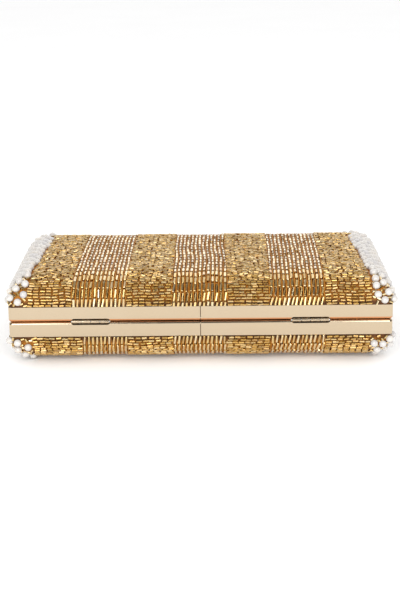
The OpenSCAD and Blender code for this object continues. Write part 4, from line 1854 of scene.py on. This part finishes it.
@dataclass
class SoftLayers:
    """The cloth, padding and lining of one half."""

    case: Case
    half: Half
    palette: Palette
    hem: float = 3.0 * MM
    cloth_thick: float = 0.6 * MM
    padding_inset: float = 1.6 * MM
    padding_top: float = 20.8 * MM
    padding_thick: float = 1.5 * MM
    padding_low: float = 14.05 * MM
    lining_inset: float = 4.55 * MM
    lining_top: float = 17.2 * MM
    lining_thick: float = 0.8 * MM
    lining_rim: float = 0.35 * MM

    def build(self) -> list[bpy.types.Object]:
        """Makes the three layers."""
        return [self._cloth(), self._padding(), self._lining()]

    def _layer(self, name: str, dome: Dome, low: float, thick: float) -> bpy.types.Object:
        """A layer of even thickness below a dome, down to a low edge.

        Args:
            name: Name of the piece.
            dome: The layer's outer surface.
            low: Height of its free edge.
            thick: Its thickness, inwards.

        Returns:
            The piece, not yet dressed.
        """
        points, faces = dome.shell_mesh(low)
        if self.half is Half.BACK:
            faces = [f[::-1] for f in faces]
        ob = make_object(name, self.case.place(points, self.half), faces)
        solid = ob.modifiers.new("thickness", "SOLIDIFY")
        solid.thickness, solid.offset = thick, -1.0
        solid.use_even_offset = True
        apply_modifiers(ob)
        return ob

    def _cloth(self) -> bpy.types.Object:
        """The ground cloth, drawn tight over the padding and tucked into the frame.

        Returns:
            The finished piece.
        """
        dome = self.case.cloth()
        body = self.half.body
        ob = self._layer(f"{body}_ground_cloth", dome, self.hem, self.cloth_thick)
        dress(ob, self.palette["gold_ground_cloth"])
        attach(ob, body)
        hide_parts(f"{body}_cloth")
        dome.cut_size(self.hem)
        return ob

    def _padding(self) -> bpy.types.Object:
        """The wadding over the crown.

        Returns:
            The finished piece.
        """
        dome = Dome(self.case, self.padding_inset, self.padding_top)
        body = self.half.body
        ob = self._layer(f"{body}_wadding", dome, self.case.frame_height, self.padding_thick)
        edit_all(ob)
        level = self.case.middle + self.half.rise * self.padding_low
        bpy.ops.mesh.bisect(
            plane_co=(0, 0, level), plane_no=(0, 0, self.half.rise), use_fill=True,
            clear_inner=True,
        )
        bpy.ops.object.mode_set(mode="OBJECT")
        dress(ob, self.palette["cotton_wadding"])
        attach(ob, body)
        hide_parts(f"{body}_padding")
        return ob

    def _lining(self) -> bpy.types.Object:
        """The satin lining, glued into the half.

        Returns:
            The finished piece.
        """
        dome = Dome(self.case, self.lining_inset, self.lining_top)
        body = self.half.body
        ob = self._layer(f"{body}_satin_lining", dome, self.lining_rim, self.lining_thick)
        dress(ob, self.palette["satin_lining_cloth"])
        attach(ob, body)
        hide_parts(f"{body}_lining")
        dome.cut_size(self.lining_rim)
        return ob


@dataclass
class Pocket:
    """The slip pocket on the floor of the back half's lining."""

    case: Case
    palette: Palette
    width: float = 104 * MM
    depth: float = 46 * MM
    middle: float = -2 * MM
    thick: float = 0.7 * MM
    floor: float = 16.3 * MM
    lift: float = 0.15 * MM
    seam_inset: float = 2.3 * MM
    stitch_pitch: float = 3.1 * MM
    stitch_length: float = 0.5
    stitch_girth: float = 0.13
    stitch_seed: int = 71
    mouth_run: float = 9 * MM
    side_run: float = 12 * MM
    fold_runs: tuple[float, float] = (7.3 * MM, 3.1 * MM)
    edge: float = 0.25 * MM

    def gape(self, x: float, y: float) -> float:
        """How far the panel stands up at a place, most of all in the middle of its mouth.

        Args:
            x: Place along the width.
            y: Place along the depth.

        Returns:
            How far it is above where it would lie flat.
        """
        mouth = self.middle + self.depth / 2
        near = max(0.0, 1 - (mouth - y) / self.mouth_run)
        side = max(0.0, min(1.0, (self.width / 2 - abs(x)) / self.side_run))
        slow, quick = (math.sin(x / run) for run in self.fold_runs)
        fold = 0.5 + 0.5 * slow * quick
        return near**2 * side * (1.1 + 0.9 * fold) * MM

    def stitches(self) -> bpy.types.Object:
        """Sews the row of stitches that runs round the panel and along its hem.

        Returns:
            The stitches, as one piece.
        """
        half_x = self.width / 2 - self.seam_inset
        low = self.middle - self.depth / 2 + self.seam_inset
        high = self.middle + self.depth / 2 - self.seam_inset
        corners = [(-half_x, high), (-half_x, low), (half_x, low), (half_x, high), (-half_x, high)]
        strand = Strand(Pearl().model(), self.stitch_seed)
        level = self.floor - self.lift - self.thick
        for start, end in zip(corners, corners[1:]):
            start, end = np.array(start), np.array(end)
            run = np.linalg.norm(end - start)
            count = int(run / self.stitch_pitch)
            share = (np.arange(count) + 0.5) / count
            flat = start + (end - start) * share[:, None]
            rise = np.array([self.gape(x, y) for x, y in flat])
            centre = np.column_stack([flat, level - rise])
            strand.sew(
                centre, np.array([*(end - start) / run, 0.0]), np.array([0.0, 0.0, -1.0]),
                0.0, self.stitch_length, self.stitch_girth,
            )
        ob = strand.finish("back_pocket_stitches", self.case, Half.BACK, floor=False)
        dress(ob, self.palette["couching_thread"])
        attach(ob, "back")
        return ob

    def build(self) -> bpy.types.Object:
        """Models the pocket: a thin panel whose mouth stands a little open.

        Returns:
            The finished panel.
        """
        deselect()
        bpy.ops.mesh.primitive_grid_add(
            x_subdivisions=44, y_subdivisions=20, size=1.0,
            location=(0, self.middle, self.case.middle - self.floor + self.lift),
        )
        ob = bpy.context.object
        ob.name = ob.data.name = "back_slip_pocket"
        ob.scale = (self.width, self.depth, 1)
        bpy.ops.object.transform_apply(location=True, rotation=True, scale=True)
        for v in ob.data.vertices:
            v.co.z += self.gape(v.co.x, v.co.y)
        solid = ob.modifiers.new("thickness", "SOLIDIFY")
        solid.thickness, solid.offset = self.thick, 1.0
        soften = ob.modifiers.new("soften", "BEVEL")
        soften.width, soften.segments = self.edge, 2
        apply_modifiers(ob)
        bpy.ops.object.shade_smooth()
        dress(ob, self.palette["satin_lining_cloth"])
        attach(ob, "back")
        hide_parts("back_pocket")
        return ob


@dataclass
class ButtonSpring:
    """The coil behind the button, as one still shape; the real coil shortens as the button goes in.
    """

    palette: Palette
    travel: float = 1.2 * MM

    def build(self) -> bpy.types.Object:
        """Makes the coil from the spring's own shape.

        Returns:
            The finished coil.
        """
        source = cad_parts["clasp_spring"]
        ob = bpy.data.objects.new("clasp_coil", source.data.copy())
        bpy.context.scene.collection.objects.link(ob)
        ob.data.name = ob.name
        edit_all(ob)
        bpy.ops.mesh.remove_doubles(threshold=0.0001 * MM)
        bpy.ops.object.mode_set(mode="OBJECT")
        bpy.ops.object.shade_smooth_by_angle(angle=math.radians(50))
        dress(ob, self.palette["bright_steel"])
        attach(ob, "back")
        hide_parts("clasp_spring")
        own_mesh(ob)
        return ob


@dataclass
class Metalwork:
    """The metal and board parts, which keep their own shapes and get their finishes."""

    palette: Palette

    FINISHES = {
        # The front frame gets the plate with the painted copper reflection.
        "copper_lipped_plate": ("front_frame",),
        "champagne_plate": (
            "back_frame", "front_joint_plate", "back_joint_plate",
            "hinge_left_front_leaf", "hinge_right_front_leaf",
            "hinge_left_back_leaf", "hinge_right_back_leaf",
            "clasp_bezel", "clasp_button", "clasp_guide", "clasp_striker",
        ),
        "bright_steel": (
            "hinge_left_pin", "hinge_right_pin", "hinge_front_rivets", "hinge_back_rivets",
            "clasp_bolt", "clasp_clip", "clasp_guide_rivets",
            "clasp_striker_rivets",
        ),
        "pressed_board": ("front_shell", "back_shell"),
    }

    def build(self) -> None:
        """Gives each part its finish."""
        for finish, names in self.FINISHES.items():
            for name in names:
                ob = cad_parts[name]
                if not ob.material_slots:
                    ob.data.materials.append(None)
                for slot in ob.material_slots:
                    slot.material = self.palette[finish]
                LOG.info("%s: %s", name, finish)


# ---------------------------------------------------------------------------------------- stage


@dataclass(frozen=True)
class Stage:
    """A white floor, soft lights and the camera."""

    eye: tuple[float, float, float] = (5.9 * MM, -682 * MM, 230 * MM)
    yaw: float = math.radians(-0.55)
    pitch: float = math.radians(17.26)
    roll: float = math.radians(-0.68)
    lens: float = 76.32
    key_place: tuple[float, float, float] = (0, 0.95, 0.62)
    key_aim: tuple[float, float, float] = (0, 0, 0.03)
    key_size: tuple[float, float] = (2.2, 0.8)
    key_watts: float = 4.0
    strip_away: float = 1.3
    strip_tall: float = 1.2
    strip_watts: float = 4.0
    glow_behind: float = 0.74
    glow_above: float = 0.14
    glow_round: float = 0.11
    floor_glow: float = 0.03

    def build(self) -> None:
        """Sets everything up."""
        self._floor()
        self._world()
        self._lamp("key", self.key_place, self.key_aim, self.key_size, self.key_watts)
        self._strip("strip_left", -23.0, 28.0)
        self._strip("strip_right", 24.0, 29.0)
        self._camera()

    def _floor(self) -> None:
        """A wide white sweep."""
        deselect()
        bpy.ops.mesh.primitive_plane_add(size=60, location=(0, 0, 0))
        floor = bpy.context.object
        floor.name = floor.data.name = "floor"
        material, t, shader = start_material("white_sweep")
        where = t.add("TexCoord").outputs["Object"]
        cloud = t.add("TexNoise", Vector=where, Scale=6.0, Detail=2.0)
        t.link(t.blend(cloud.outputs[0], (0.93, 0.93, 0.93), (0.96, 0.96, 0.96)),
               shader.inputs["Base Color"])
        shader.inputs["Roughness"].default_value = 0.9
        shader.inputs["Specular IOR Level"].default_value = 0.1
        shader.inputs["Emission Color"].default_value = (1, 1, 1, 1)
        shader.inputs["Emission Strength"].default_value = self.floor_glow
        dress(floor, material)

    def _world(self) -> None:
        """Soft light all round, brighter behind the bag than over it."""
        world = bpy.data.worlds.new("studio")
        bpy.context.scene.world = world
        world.use_nodes = True
        t = Tree(world.node_tree)
        back = world.node_tree.nodes["Background"]
        where = t.add("TexCoord").outputs["Generated"]
        parts = t.add("SeparateXYZ", Vector=where)
        behind = t.maths("MULTIPLY", t.step(parts.outputs[1], 0.02, 0.22), self.glow_behind)
        above = t.maths("MULTIPLY", t.step(parts.outputs[2], 0.5, 0.85), self.glow_above)
        seen = t.maths("ADD", t.maths("ADD", behind, above), self.glow_round)
        glossy = t.add("LightPath").outputs["Is Glossy Ray"]
        plain = t.maths("SUBTRACT", 1.0, glossy)
        level = t.maths("ADD", plain, t.maths("MULTIPLY", glossy, seen))
        t.link(level, back.inputs["Strength"])
        back.inputs["Color"].default_value = (1, 1, 1, 1)

    def _lamp(
        self, name: str, place: tuple, aim: tuple, size: tuple[float, float], watts: float
    ) -> None:
        """Adds a soft box.

        Args:
            name: Name of the lamp.
            place: Where it stands.
            aim: What it points at.
            size: Its width and height.
            watts: Its power.
        """
        light = bpy.data.lights.new(name, "AREA")
        light.shape, light.size, light.size_y = "RECTANGLE", *size
        light.energy = watts
        ob = bpy.data.objects.new(name, light)
        bpy.context.scene.collection.objects.link(ob)
        ob.location = place
        ob.rotation_euler = (Vector(aim) - Vector(place)).to_track_quat("-Z", "Y").to_euler()
        ob.visible_camera = False

    def _strip(self, name: str, turn: float, spread: float) -> None:
        """Adds an upright soft box in front of the bag.

        Args:
            name: Name of the lamp.
            turn: Its direction from the middle, in degrees, positive to the right.
            spread: How wide it looks from the bag, in degrees.
        """
        away, tall = self.strip_away, self.strip_tall
        a = math.radians(turn)
        place = (away * math.sin(a), -away * math.cos(a), tall / 2 + 0.01)
        wide = 2 * away * math.tan(math.radians(spread / 2))
        watts = self.strip_watts * math.pi * wide * tall
        self._lamp(name, place, (0, 0, place[2]), (wide, tall), watts)

    def _camera(self) -> None:
        """The camera looks down a little at the hinge side."""
        forward = Vector((
            math.sin(self.yaw) * math.cos(self.pitch),
            math.cos(self.yaw) * math.cos(self.pitch),
            -math.sin(self.pitch),
        ))
        right = Vector((math.cos(self.yaw), -math.sin(self.yaw), 0))
        up = right.cross(forward)
        side = right * math.cos(self.roll) + up * math.sin(self.roll)
        top = up * math.cos(self.roll) - right * math.sin(self.roll)
        camera = bpy.data.cameras.new("camera")
        camera.lens, camera.sensor_width = self.lens, 36
        camera.clip_start, camera.clip_end = 0.01, 50
        ob = bpy.data.objects.new("camera", camera)
        bpy.context.scene.collection.objects.link(ob)
        turn = Matrix((side, top, -forward)).transposed().to_4x4()
        ob.matrix_world = Matrix.Translation(self.eye) @ turn
        bpy.context.scene.camera = ob
        bpy.context.scene.view_settings.view_transform = "Standard"


def main() -> None:
    """Builds the bag and its set, in order."""
    logging.basicConfig(level=logging.INFO, format="%(name)s: %(message)s")
    case = Case()
    palette = Palette(Effects())
    Metalwork(palette).build()
    for half in Half:
        layers = SoftLayers(case, half, palette).build()
        for piece in layers + Beadwork(case, half, palette).build():
            LOG.info("%s is in place", piece.name)
    pocket = Pocket(case, palette)
    for piece in (pocket.build(), pocket.stitches()):
        LOG.info("%s is in place", piece.name)
    LOG.info("%s is in place", ButtonSpring(palette).build().name)
    Stage().build()
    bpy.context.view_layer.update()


if __name__ == "__main__":
    main()
